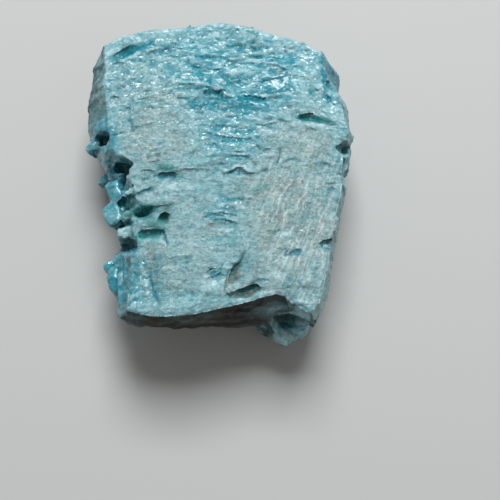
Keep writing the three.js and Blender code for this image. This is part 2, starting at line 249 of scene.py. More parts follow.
def overlaid(under: Array, over: Array) -> Array:
    """Lay one share over another, so that together they stay below 1.

    Args:
        under: shares from 0 to 1.
        over: shares to be added.

    Returns:
        The joined shares.
    """
    return 1.0 - (1.0 - under) * (1.0 - over)


@dataclass(frozen=True)
class PhotoScale:
    """Turns places read in the photograph, in pixels, into places on the stone's top.

    Attributes:
        middle: row and column of the photograph's middle.
        middle_x: how far east of the stone's middle that column lies.
        pixel: width of a pixel on the top, in the middle row.
        narrowing: how much wider a pixel gets for each row nearer the picture's top.
        first_y: how far north of the stone's middle the first row lies.
        row: length that one row covers on the top.
        mean_pixel: width of a pixel for the size of a patch.
    """

    middle: float = 250.0
    middle_x: float = 2.94
    pixel: float = 0.0900
    narrowing: float = 0.000008
    first_y: float = 15.815
    row: float = 0.0931
    mean_pixel: float = 0.0905

    def at(self, column: float, down: float) -> tuple[float, float]:
        """Give a place on the top, to a hundredth of a millimetre.

        Args:
            column: pixels from the picture's left side.
            down: pixels from its top.

        Returns:
            How far east and how far north of the stone's middle it lies.
        """
        width = self.pixel + (self.middle - down) * self.narrowing
        return (
            round(self.middle_x + (column - self.middle) * width, 2),
            round(self.first_y - self.row * down, 2),
        )

    def line(self, points: tuple[tuple[float, float], ...]) -> tuple[tuple[float, float], ...]:
        """Give the places of a line's points, each a column and a row."""
        return tuple(self.at(*point) for point in points)

    def size(self, width: float, height: float) -> tuple[float, float]:
        """Give a width and a height in millimetres from pixels."""
        return round(width * self.mean_pixel, 2), round(height * self.row, 2)


PHOTO = PhotoScale()


@dataclass(frozen=True)
class Spot:
    """An oval of the stone's top, seen from above.

    Attributes:
        x: east of the stone's middle.
        y: north of the stone's middle.
        reach_x: half length along its own first axis.
        reach_y: half length across that.
        turn: degrees from east to its first axis.
    """

    x: float
    y: float
    reach_x: float
    reach_y: float
    turn: float = 0.0

    def local(self, points: Array) -> tuple[Array, Array]:
        """Give places in the oval's own axes, 1 at its edge.

        Args:
            points: places in millimetres.

        Returns:
            The place along and the place across the oval.
        """
        angle = math.radians(self.turn)
        dx, dy = points[:, 0] - self.x, points[:, 1] - self.y
        along = (dx * math.cos(angle) + dy * math.sin(angle)) / self.reach_x
        across = (dy * math.cos(angle) - dx * math.sin(angle)) / self.reach_y
        return along, across

    def weight(self, points: Array) -> Array:
        """Fade from 1 in the middle to nothing well past the edge.

        Args:
            points: places in millimetres.

        Returns:
            One number from 0 to 1 for each point.
        """
        along, across = self.local(points)
        return np.exp(-((along**2 + across**2) ** 1.5))


@dataclass(frozen=True)
class Zone(Spot):
    """A part of the top with one habit.

    Attributes:
        habit: how its surface looks.
        strength: share of that habit in its middle.
    """

    habit: Habit = Habit.MATTE
    strength: float = 1.0


@dataclass(frozen=True)
class Patch(Spot):
    """A part of the top with its own colour.

    Attributes:
        tint: what it adds to the common colour.
        strength: share of that tint in its middle; above 1, its full part is wider.
    """

    tint: Tint = Tint.DEEP
    strength: float = 1.0


def patches(tint: Tint, *rows: tuple[float, ...]) -> tuple[Patch, ...]:
    """Make patches of one colour.

    Args:
        tint: their colour.
        rows: for each, its place east and north, its half length and half width, its turn in
            degrees, and its strength.

    Returns:
        The patches.
    """
    return tuple(Patch(*row[:5], tint, row[5]) for row in rows)


def seen_patches(tint: Tint, *rows: tuple[float, ...]) -> tuple[Patch, ...]:
    """Make patches of one colour where they were read in the photograph.

    Args:
        tint: their colour.
        rows: as for patches, but places and sizes are in pixels, from the picture's top left.

    Returns:
        The patches.
    """
    placed = ((*PHOTO.at(*row[:2]), *PHOTO.size(*row[2:4]), *row[4:]) for row in rows)
    return patches(tint, *placed)


@dataclass(frozen=True)
class Dish(Spot):
    """A shallow shell-like break, or a rounded nodule where its depth is negative.

    Attributes:
        depth: how deep its middle is.
        ripples: height of the rings in it.
    """

    depth: float = 0.2
    ripples: float = 0.0


@dataclass(frozen=True)
class Seam:
    """A broken line on the top.

    Attributes:
        line: its points, as x and y.
    """

    line: tuple[tuple[float, float], ...]

    def away(self, points: Array) -> tuple[Array, Array]:
        """Give how far points lie to the left of the line, and its strength beside them.

        Args:
            points: places in millimetres.

        Returns:
            The distances, and strengths that fade from 1 at the middle to 0 at both ends.
        """
        bends = np.asarray(self.line)
        chord = bends[-1] - bends[0]
        length = float(np.hypot(*chord))
        run = chord / length
        left = np.array((-run[1], run[0]))
        from_start = points[:, :2] - bends[0]
        along = from_start @ run
        bend = np.interp(along, (bends - bends[0]) @ run, (bends - bends[0]) @ left)
        share = np.clip(along / length, 0.0, 1.0)
        return from_start @ left - bend, np.sqrt(4.0 * share * (1.0 - share))


@dataclass(frozen=True)
class Ledge(Seam):
    """A step in the top, higher on the left of its line.

    Attributes:
        drop: height of the step.
        shade: how dark the painted shade in the crevice under it is.
    """

    drop: float
    shade: float

    def rise(self, points: Array) -> Array:
        """Give how far the step lifts or lowers each point.

        Args:
            points: places in millimetres.

        Returns:
            One height for each point.
        """
        away, strength = self.away(points)
        high_reach, low_reach = 0.25 + 1.5 * self.drop, 0.15 + 2.0 * self.drop
        lift = LEDGE_LIFT * np.exp(-np.maximum(away, 0.0) / high_reach)
        sink = LEDGE_SINK * np.exp(np.minimum(away, 0.0) / low_reach)
        return self.drop * strength * np.where(away > 0.0, lift, -sink)

    def dark(self, points: Array) -> Array:
        """Give how dark the painted shade in the step's crevice is at each point.

        Args:
            points: places in millimetres.

        Returns:
            One share for each point.
        """
        away, strength = self.away(points)
        width = 0.10 + 0.35 * self.drop
        from_foot = away + 0.5 * width
        return self.shade * strength * np.exp(-((from_foot / width) ** 2))


@dataclass(frozen=True)
class Groove(Seam):
    """A furrow in the top.

    Attributes:
        width: half its width.
        depth: how deep it is.
    """

    width: float
    depth: float

    def rise(self, points: Array) -> Array:
        """Give how far the furrow lowers each point.

        Args:
            points: places in millimetres.

        Returns:
            One height for each point.
        """
        away, strength = self.away(points)
        return -self.depth * strength * np.exp(-((away / self.width) ** 2))

    def dark(self, points: Array) -> Array:
        """Give how dark the painted shade in the furrow is at each point.

        Args:
            points: places in millimetres.

        Returns:
            One share for each point.
        """
        away, strength = self.away(points)
        return FURROW_SHADE * strength * np.exp(-((away / (FURROW_SHADE_WIDTH * self.width)) ** 2))


@dataclass(frozen=True)
class Breakage:
    """One size of broken fragments over the whole stone.

    Attributes:
        size: mean length, thickness and height of a fragment.
        glassy: how far fragments stand apart in glassy zones, and in part in clear ones.
        matte: the same in matte zones.
        fibrous: the same in fibrous zones.
        ragged: how far the fragments' edges wander.
        lean: how much each fragment's south side stands up.
        tilt: how steeply fragments slope, against how far they stand apart.
        tone: how much they lighten or darken the stone.
    """

    size: tuple[float, float, float]
    glassy: float
    matte: float
    fibrous: float
    ragged: float
    lean: float
    tilt: float
    tone: float


# What the top shows. Ledges, furrows and most patches keep the columns and rows where they were
# read in the photograph, 500 pixels wide; the rest were given in millimetres.
ZONES = (
    Zone(0.6, 9.6, 11.0, 5.2, 0, Habit.GLASSY, 0.95),
    Zone(1.4, 2.8, 3.0, 3.6, 80, Habit.GLASSY, 0.8),
    Zone(0.9, -4.0, 2.2, 1.0, 5, Habit.GLASSY, 0.8),
    Zone(-7.6, -10.0, 2.2, 3.6, 8, Habit.GLASSY, 0.9),
    Zone(6.9, -13.4, 2.4, 1.6, -25, Habit.GLASSY, 1.0),
    Zone(7.3, -13.6, 1.2, 0.9, -25, Habit.CLEAR, 0.9),
    Zone(10.6, 6.6, 1.2, 1.6, 0, Habit.GLASSY, 1.0),
    Zone(-11.0, -0.9, 2.7, 6.6, 0, Habit.CLEAR, 1.0),
    Zone(-9.4, -9.9, 2.0, 3.1, 12, Habit.CLEAR, 1.0),
    Zone(10.9, 9.8, 1.6, 2.6, 0, Habit.CLEAR, 1.0),
    Zone(5.4, 8.4, 1.9, 0.8, 8, Habit.CLEAR, 0.9),
    Zone(6.2, 10.8, 1.3, 0.8, 0, Habit.CLEAR, 0.8),
    Zone(4.1, 6.3, 0.8, 0.55, 0, Habit.CLEAR, 0.9),
    Zone(0.3, 11.0, 1.2, 0.6, 5, Habit.CLEAR, 0.7),
    Zone(-7.6, 11.9, 2.0, 0.5, 17, Habit.CLEAR, 0.8),
    Zone(2.0, 6.6, 0.7, 0.4, 20, Habit.CLEAR, 0.8),
    Zone(-1.1, 9.3, 1.1, 0.5, 6, Habit.CLEAR, 0.7),
    Zone(12.0, 1.4, 1.8, 3.6, 0, Habit.GLASSY, 1.0),
    Zone(7.6, -5.4, 4.4, 8.6, -8, Habit.FIBROUS, 1.0),
    Zone(5.2, -1.4, 2.6, 3.6, -10, Habit.FIBROUS, 0.8),
)

LEDGES = (
    *(
        Ledge(PHOTO.line(points), drop, shade)
        for points, drop, shade in (
            (((105, 52), (118, 46), (132, 42), (143, 38.5), (154, 32)), 0.16, 0.3),
            (((134, 50), (141, 49), (147, 48), (152, 45), (160, 42), (172, 40.5)), 0.18, 0.7),
            (((160, 52), (170, 50.5), (178, 51.5), (190, 50)), 0.14, 0.8),
            (((110, 60), (115, 56.5), (121, 57), (124, 60)), 0.22, 0.9),
            (((200, 51), (212, 50), (225, 51.5), (240, 50.5), (250, 48.5), (262, 50), (270, 47),
                (281, 46), (298, 49.5)), 0.2, 0.6),
            (((214, 31), (219, 33), (224, 37.5), (229, 35), (235, 37)), 0.14, 0.4),
            (((238, 39), (252, 40), (262, 39), (280, 38.5), (296, 42)), 0.1, 0.3),
            (((228, 80), (236, 77.5), (247, 75), (249, 79)), 0.18, 0.8),
            (((258, 79), (265, 77), (275, 75.5), (287, 73.5), (300, 73.5), (308, 76), (313, 79)),
                0.14, 0.6),
            (((255, 89.5), (262, 90.5), (272, 90.5), (280, 88), (286, 87), (293, 88.5)), 0.22, 0.6),
            (((262, 98), (268, 96.5), (275, 95), (283, 94)), 0.2, 1),
            (((283, 99), (297, 98), (310, 99), (320, 97)), 0.08, 0.4),
            (((279, 105), (287, 106), (294, 105), (299, 103)), 0.12, 0.7),
            (((196, 110.5), (200, 108), (204, 105.5), (208, 102.5)), 0.2, 1),
            (((172, 83), (178, 82.5), (186, 84), (196, 83)), 0.09, 0.6),
            (((185, 88), (195, 87), (203, 85)), 0.08, 0.5),
            (((199, 90), (204, 89.5), (212, 91), (222, 89.5), (231, 91)), 0.12, 0.7),
            (((209, 95), (214, 96.5), (222, 95.5), (230, 97)), 0.14, 0.7),
            (((215, 103), (221, 105.5), (228, 104), (236, 107), (243, 105)), 0.14, 0.7),
            (((104, 86), (110, 88), (114, 86)), 0.1, 0.8),
            (((119, 83), (127, 82.5)), 0.1, 0.8),
            (((144, 89.5), (151, 89)), 0.08, 1),
            (((110, 96), (114, 94.5), (119, 96)), 0.25, 1),
            (((120, 108.5), (127, 106.5), (134, 107)), 0.2, 1),
            (((145, 109), (151, 107), (156, 108)), 0.08, 0.8),
            (((128, 130), (134, 127), (141, 127.5), (148, 125.5), (155, 124)), 0.14, 0.8),
            (((130, 131), (136, 130)), 0.14, 1),
            (((110, 136), (117, 134), (124, 132.5), (128, 134)), 0.2, 0.6),
            (((196, 143), (204, 143.5), (212, 142)), 0.06, 0.7),
            (((149, 153), (156, 151.5), (160, 152.5)), 0.1, 0.9),
            (((146, 158), (150, 156.5)), 0.1, 0.9),
            (((155, 156), (162, 155)), 0.08, 0.8),
            (((149, 163), (155, 164), (160, 161.5)), 0.2, 1),
            (((142, 173), (150, 172), (156, 175)), 0.2, 1),
            (((200, 168), (207, 166.5), (214, 167.5), (222, 166), (235, 167), (246, 166)), 0.09, 0.5),
            (((154, 178), (163, 174.5), (172, 175.5), (180, 174.5), (186, 172), (196, 171), (206, 172.5),
                (214, 174)), 0.15, 0.6),
            (((139, 180), (145, 181), (150, 179)), 0.1, 0.7),
            (((127, 195), (135, 194.5), (141, 193), (147, 190.5), (155, 189.5)), 0.26, 1),
            (((129, 204.5), (134, 203), (139, 201)), 0.2, 1),
            (((138, 206), (150, 207.5), (162, 207.5), (172, 206), (182, 204.5)), 0.2, 0.9),
            (((208, 128), (222, 127), (235, 128), (245, 127)), 0.12, 0.7),
            (((217, 116), (226, 119), (235, 118), (243, 121)), 0.07, 0.3),
            (((255, 126), (262, 127), (270, 126), (278, 124.5)), 0.2, 0.8),
            (((277, 121), (286, 122.5), (293, 122)), 0.16, 1),
            (((305, 130), (310, 129.5), (316, 131)), 0.14, 1),
            (((286, 129.5), (292, 129), (297, 131)), 0.07, 0.7),
            (((322, 123), (330, 124.5), (340, 126)), 0.1, 1),
            (((262, 152), (266, 151), (271, 152)), 0.14, 1),
            (((264, 161), (270, 159.5), (275, 159)), 0.12, 0.9),
            (((283, 163), (289, 161), (295, 159.5), (302, 161.5)), 0.14, 0.9),
            (((222, 178), (229, 174.5), (236, 170.5), (241, 171.5), (247, 176), (255, 176.5)), 0.34, 1),
            (((253, 177), (262, 173.5), (268, 171.5), (274, 168.5)), 0.14, 1),
            (((321, 163), (327, 165), (333, 168)), 0.2, 1),
            (((335, 171), (343, 176)), 0.2, 1),
            (((324, 184), (330, 185), (337, 183)), 0.16, 0.8),
            (((326, 191), (331, 189), (336, 191)), 0.16, 0.8),
            (((229, 211), (234, 209), (237, 212)), 0.1, 0.6),
            (((213, 221), (225, 221), (232, 222), (239, 225)), 0.28, 0.8),
            (((267, 231), (273, 230), (281, 230.5)), 0.12, 1),
            (((285, 254), (291, 250.5), (300, 249)), 0.26, 0.8),
            (((300, 249), (309, 248.5), (319, 247)), 0.08, 0.4),
            (((320, 219), (326, 222), (334, 223)), 0.08, 0.7),
            (((206, 279.5), (214, 275), (221, 271.5), (227, 274.5)), 0.28, 0.9),
            (((227, 278.5), (231, 277), (237, 276), (243, 272)), 0.16, 1),
            (((232, 262), (238, 263), (242, 260)), 0.12, 1),
            (((243, 286), (252, 281.5), (258, 279), (267, 279), (272, 276)), 0.14, 0.8),
            (((202, 294), (210, 293.5), (218, 294), (223, 293)), 0.08, 0.8),
            (((189, 308), (197, 304), (206, 301)), 0.1, 0.8),
            (((200, 299), (209, 299.5)), 0.05, 0.8),
            (((225, 289), (232, 293), (245, 290.5), (255, 288), (264, 286.5)), 0.2, 0.8),
            (((281, 288), (286, 286), (291, 287)), 0.12, 0.9),
            (((312, 317), (317, 310), (322, 306)), 0.12, 0.8),
            (((170, 259), (182, 257.5), (193, 260)), 0.05, 0.3),
            (((205, 262), (214, 261), (224, 263)), 0.05, 0.4),
            (((246, 226), (251, 229)), 0.06, 0.7),
        )
    ),
)

GROOVES = (
    Groove(((7.49, 4.92), (8.4, 4.78), (9.31, 4.55), (10.22, 4.27), (10.86, 3.99)), 0.22, 0.28),
    *(
        Groove(PHOTO.line(points), width, depth)
        for points, width, depth in (
            (((150, 270), (152, 280), (155, 290), (159, 298), (163, 306)), 0.2, 0.12),
            (((163, 232), (166, 239), (169, 246)), 0.16, 0.22),
            (((128, 118), (131, 124), (132, 130)), 0.2, 0.14),
            (((276, 168), (279, 160), (280, 150)), 0.11, 0.1),
            (((196, 152), (190, 162), (186, 171)), 0.07, 0.05),
            (((266, 196), (262, 206), (259, 216)), 0.08, 0.06),
            (((225, 262), (221, 270)), 0.11, 0.12),
            (((245, 250), (240, 262), (232, 272), (226, 290)), 0.18, 0.25),
        )
    ),
)

PATCHES = (
    *seen_patches(
        Tint.DEEP,
        (209, 77, 4.5, 3.5, 0, 1), (210, 85, 4.5, 3, 0, 0.8), (203, 92, 4.5, 3, 0, 1.2),
        (217, 95, 8, 2.5, 0, 1), (221, 101, 6, 3.5, 0, 1.3), (226, 108, 7, 4, 0, 0.8),
        (236, 109, 9, 4, 0, 0.75), (248, 106, 7, 4, 0, 1), (262, 102, 7, 4, 0, 1.1),
        (257, 111, 5, 3, 0, 1.2), (266, 110, 6, 5, 0, 0.7), (234, 114, 6, 4, 0, 0.6),
        (276, 90, 13, 2.6, 6, 1), (292, 89, 5, 4, 40, 0.6), (263, 80, 8, 3.5, 0, 0.6),
        (258, 64, 4, 4, 0, 0.8), (272, 57, 13, 7, 0, 0.45), (289, 57, 4, 8, 0, 0.5), (240, 78, 9, 2, 5, 1),
        (227, 40, 7, 3, 8, 0.8), (252, 34, 6, 3, 0, 0.7), (268, 36, 8, 2.5, -8, 0.7),
        (253, 44, 5, 4, 0, 0.5), (308, 47, 5, 3, -20, 0.7), (192, 32, 3.5, 3, 0, 1),
        (201, 29, 5, 3, 0, 0.5), (176, 32, 5, 2.5, 0, 0.5), (136, 42, 21, 3.6, 17, 0.8),
        (152, 36, 4, 3, 30, 0.9), (117, 58, 6, 2.4, 10, 1), (124, 84, 5, 3, 0, 0.8),
        (114, 97, 4, 3, 0, 1.2), (126, 109, 8, 2, 0, 1), (136, 55, 5, 3, 0, 0.5), (201, 57, 11, 5, 0, 0.45),
        (222, 68, 9, 4, 0, 0.45), (203, 66, 7, 4, 0, 0.5), (177, 70, 6, 3, 0, 0.4), (168, 44, 5, 4, 0, 0.6),
        (196, 45, 6, 3, 0, 0.6), (194, 105, 5, 5, 0, 0.8), (188, 98, 5, 4, 0, 0.4),
        (331, 74, 7, 10, 0, 0.9), (331, 65, 8, 3, -20, 1.2), (335, 83, 4, 3, 0, 1.1),
        (327, 92, 3.5, 6, 0, 1.5), (326, 75, 3, 5, 0, 1), (334, 98, 7, 6, 0, 0.5),
        (310, 120, 14, 3, -6, 1.3), (214, 138, 7, 4, 0, 0.54), (226, 129, 20, 2.2, 0, 0.42),
        (217, 146, 6, 4, 0, 0.3), (258, 144, 4, 6, 0, 0.48), (264, 152, 5, 2.5, 0, 0.54),
        (236, 150, 26, 16, 0, 0.23), (240, 174, 13, 3.2, 0, 0.72), (236, 183, 8, 4, 0, 0.3),
        (226, 194, 12, 9, 0, 0.17), (268, 128, 13, 2.4, 0, 0.54), (191, 134, 14, 6, 0, 0.18),
        (226, 222, 14, 2, -3, 0.72), (214, 216, 8, 3.5, 0, 0.42), (228, 210, 9, 5, 0, 0.39),
        (207, 220, 6, 3, 0, 0.24), (205, 213, 7, 5, 0, 0.21), (338, 160, 5, 5, 0, 0.48),
        (331, 192, 6, 5, 0, 0.48), (337, 198, 4, 9, 0, 0.3), (329, 206, 4, 6, 0, 0.24),
        (296, 186, 3, 6, 0, 0.18), (304, 228, 8, 4, 0, 0.18), (299, 251, 7, 2.2, 8, 0.6),
        (328, 246, 6, 3, 10, 0.6), (159, 258, 7, 9, 0, 0.36), (158, 271, 7, 5, 0, 0.45),
        (134, 261, 15, 4.5, -15, 0.36), (113, 279, 7, 10, 0, 0.7), (106, 270, 3.5, 6, 0, 0.6),
        (126, 290, 6, 12, 0, 0.7), (110, 203, 10, 22, 0, 0.5), (151, 219, 7, 3, 10, 0.54),
        (128, 241, 14, 3, 3, 1.2), (152, 231, 11, 3, 8, 0.66), (104, 129, 10, 3.2, 10, 1.2),
        (108, 161, 8, 7, 0, 0.9), (113, 173, 8, 8, 0, 0.9), (94, 158, 9, 8, 0, 0.8),
        (287, 295, 7, 4, 0, 0.48), (290, 283, 6, 3, 0, 0.3), (285, 287, 5, 2.2, 0, 0.48),
        (294, 306, 8, 3.6, -25, 0.36), (240, 296, 16, 3, 6, 0.36), (259, 281, 10, 2.5, 8, 0.36),
        (219, 273, 9, 3, 0, 0.6), (246, 265, 8, 10, 0, 0.15), (170, 180, 13, 5, 0, 0.54),
        (143, 192, 13, 3, 12, 0.48), (152, 211, 14, 3, 6, 0.6), (210, 262, 9, 5, 0, 0.15),
        (172, 272, 9, 4, 0, 0.15), (186, 222, 14, 8, 0, 0.07), (120, 75, 16, 16, 0, 0.3),
        (105, 95, 5, 26, 0, 0.35), (120, 122, 16, 6, 0, 0.3), (118, 140, 12, 8, 0, 0.3),
        (230, 62, 60, 34, 0, 0.22),
    ),
    *patches(
        Tint.DEEP,
        (7.2, -13.7, 1.0, 0.22, -22, 0.9), (6.4, -13.7, 0.5, 0.9, -60, 0.8), (1.8, 6.0, 4.0, 1.1, 0, 0.95),
        (-0.8, 7.9, 1.4, 1.4, 0, 0.55), (2.6, 8.1, 3.0, 0.5, 0, 0.45), (1.4, 2.4, 2.6, 2.2, 0, 0.21),
        (11.1, 9.8, 1.2, 1.7, 0, 1.2), (-9.0, -9.5, 1.5, 2.8, 10, 0.45), (-7.2, -9.6, 1.0, 3.0, 10, 0.5),
        (-5.6, -11.0, 0.7, 1.6, 15, 0.4), (-10.9, 4.6, 1.0, 0.7, 0, 0.8), (-9.0, -6.6, 1.3, 0.7, 0, 0.7),
        (10.3, 10.4, 0.9, 1.5, 30, 1.2),
    ),
    *seen_patches(
        Tint.PALE,
        (152, 76, 6, 9, 0, 0.5), (181, 90, 12, 4, 0, 0.4), (242, 45, 3, 4, 0, 0.8),
        (237, 65, 8, 9, 0, 0.35), (249, 66, 6, 7, 0, 0.3), (284, 44, 14, 4, -6, 0.6),
        (302, 49, 8, 4, -20, 0.7), (208, 30, 14, 4, 0, 0.4), (112, 46, 9, 3, 22, 0.7),
        (218, 119, 10, 3, -10, 0.6), (206, 150, 5, 3, 0, 0.5), (268, 133, 10, 3, 0, 0.6),
        (288, 137, 7, 2.4, 0, 0.7), (312, 148, 6, 2.4, 0, 0.5), (283, 235, 7, 3.5, 0, 1),
        (286, 262, 10, 7, 0, 0.4), (325, 131, 7, 2.6, 0, 0.6), (180, 187, 18, 3, 0, 0.5),
        (130, 173, 4, 8, 0, 0.5), (131, 187, 7, 3, 0, 0.7), (127, 231, 12, 6, 0, 0.3),
        (104, 123, 8, 4, 0, 0.35), (224, 229, 13, 2.4, 0, 0.6), (214, 282, 5, 2.4, 0, 1),
        (141, 283, 5, 6, 0, 0.5), (188, 241, 16, 5, 0, 0.3), (275, 277, 9, 4, 0, 0.7),
        (268, 293, 11, 2.2, 8, 0.6), (306, 303, 10, 12, 0, 0.3), (110, 214, 7, 9, 0, 0.25),
        (323, 90, 2.5, 10, 0, 0.8), (160, 30, 26, 3, 0, 0.35), (280, 200, 14, 8, 0, 0.35),
        (310, 185, 10, 10, 0, 0.3), (195, 283, 22, 10, 0, 0.25),
    ),
    *patches(
        Tint.PALE,
        (6.6, -14.1, 1.3, 0.3, -15, 0.5), (7.6, -13.3, 0.9, 0.25, -30, 0.5),
        (-8.2, -10.6, 0.16, 2.4, 12, 0.8), (-6.5, -10.2, 0.16, 2.0, 14, 0.7),
        (-5.5, 7.6, 0.45, 2.8, 0, 0.4),
    ),
    *seen_patches(
        Tint.GREY,
        (155, 140, 36, 44, 0, 0.8), (176, 100, 22, 12, 0, 0.6), (292, 225, 42, 62, 8, 0.85),
        (300, 142, 34, 16, 0, 0.7), (262, 196, 26, 20, 0, 0.8), (180, 250, 36, 44, 0, 0.5),
        (148, 262, 10, 34, 0, 0.5), (312, 110, 16, 8, 0, 0.5),
    ),
    *patches(
        Tint.GREY,
        (-7.5, 7.5, 3.4, 4.0, 0, 0.45),
    ),
    *seen_patches(
        Tint.STAIN,
        (281, 71, 3.5, 1.6, 0, 0.7), (243, 46, 2, 3, 0, 0.4), (213, 223, 7, 1, 0, 1.2),
        (190, 173, 8, 1, 0, 0.9), (234, 276, 14, 4, 62, 0.7), (246, 291, 17, 3, 8, 0.9),
        (303, 180, 1.6, 6, 0, 0.5), (309, 164, 9, 0.8, 0, 0.6), (280, 218, 2, 8, -20, 0.4),
        (298, 196, 4, 12, 0, 0.25), (322, 224, 2, 5, 0, 0.4), (247, 127, 5, 1.5, 0, 0.4),
        (186, 240, 4, 10, 0, 0.2), (265, 240, 5, 16, 15, 0.15),
    ),
    # Painted shade: shaded slot walls and the crescent slot in deep teal.
    *patches(
        Tint.SLOT_SHADE,
        (8.9, 4.65, 1.6, 0.3, -14, 1.4), (-4.6, -0.2, 1.2, 0.35, 4, 1.2), (-6.9, -3.9, 2.3, 0.4, 10, 1.1),
        (-5.2, -5.0, 0.9, 0.6, 0, 0.9), (-6.6, -6.1, 1.8, 0.3, 6, 1.1), (3.9, -2.0, 0.9, 0.3, 0, 0.6),
    ),
    # Painted shade: the hollow between the top's rim and the lobe, in nearly black green.
    *patches(
        Tint.DARK,
        (5.7, -12.4, 2.4, 0.8, -12, 1.0),
    ),
)

DISHES = (
    Dish(5.4, 8.3, 2.0, 0.85, 8, 0.16, 0.006),
    Dish(4.1, 6.3, 0.8, 0.5, 0, -0.16, 0.0),
    Dish(0.6, 6.6, 0.7, 0.45, -20, 0.14, 0.0),
    Dish(-1.0, 6.5, 0.6, 0.4, 30, 0.12, 0.0),
    Dish(2.0, 6.6, 0.6, 0.4, 20, -0.1, 0.0),
    Dish(-1.2, 9.2, 1.0, 0.4, 6, 0.16, 0.0),
    Dish(2.4, 9.0, 1.1, 0.35, 14, 0.16, 0.0),
    Dish(0.9, 8.9, 0.8, 0.3, -8, 0.12, 0.0),
    Dish(6.3, 10.9, 1.5, 1.0, 0, 0.10, 0.008),
    Dish(0.2, 11.0, 1.6, 0.8, 5, 0.1, 0.0),
    Dish(3.4, 12.3, 1.2, 0.4, -6, 0.12, 0.0),
    Dish(-8.3, 11.9, 1.6, 0.5, 20, 0.16, 0.0),
    Dish(-3.6, -8.6, 1.6, 0.5, 12, 0.12, 0.0),
    Dish(0.6, -9.6, 1.2, 0.4, 10, 0.16, 0.0),
    Dish(6.8, -7.7, 0.9, 0.35, 16, 0.14, 0.0),
)

BREAKAGES = (
    Breakage((3.8, 1.3, 2.6), 0.09, 0.012, 0.008, 0.5, 0.5, 1.0, 0.15),
    Breakage((1.6, 0.7, 1.4), 0.07, 0.010, 0.006, 0.3, 0.45, 1.2, 0.2),
    Breakage((0.95, 0.6, 0.9), 0.055, 0.010, 0.0, 0.3, 0.2, 1.8, 0.35),
    Breakage((0.55, 0.38, 0.55), 0.035, 0.012, 0.008, 0.15, 0.1, 1.8, 0.3),
    Breakage((0.32, 0.25, 0.32), 0.016, 0.010, 0.008, 0.08, 0.0, 1.8, 0.0),
)


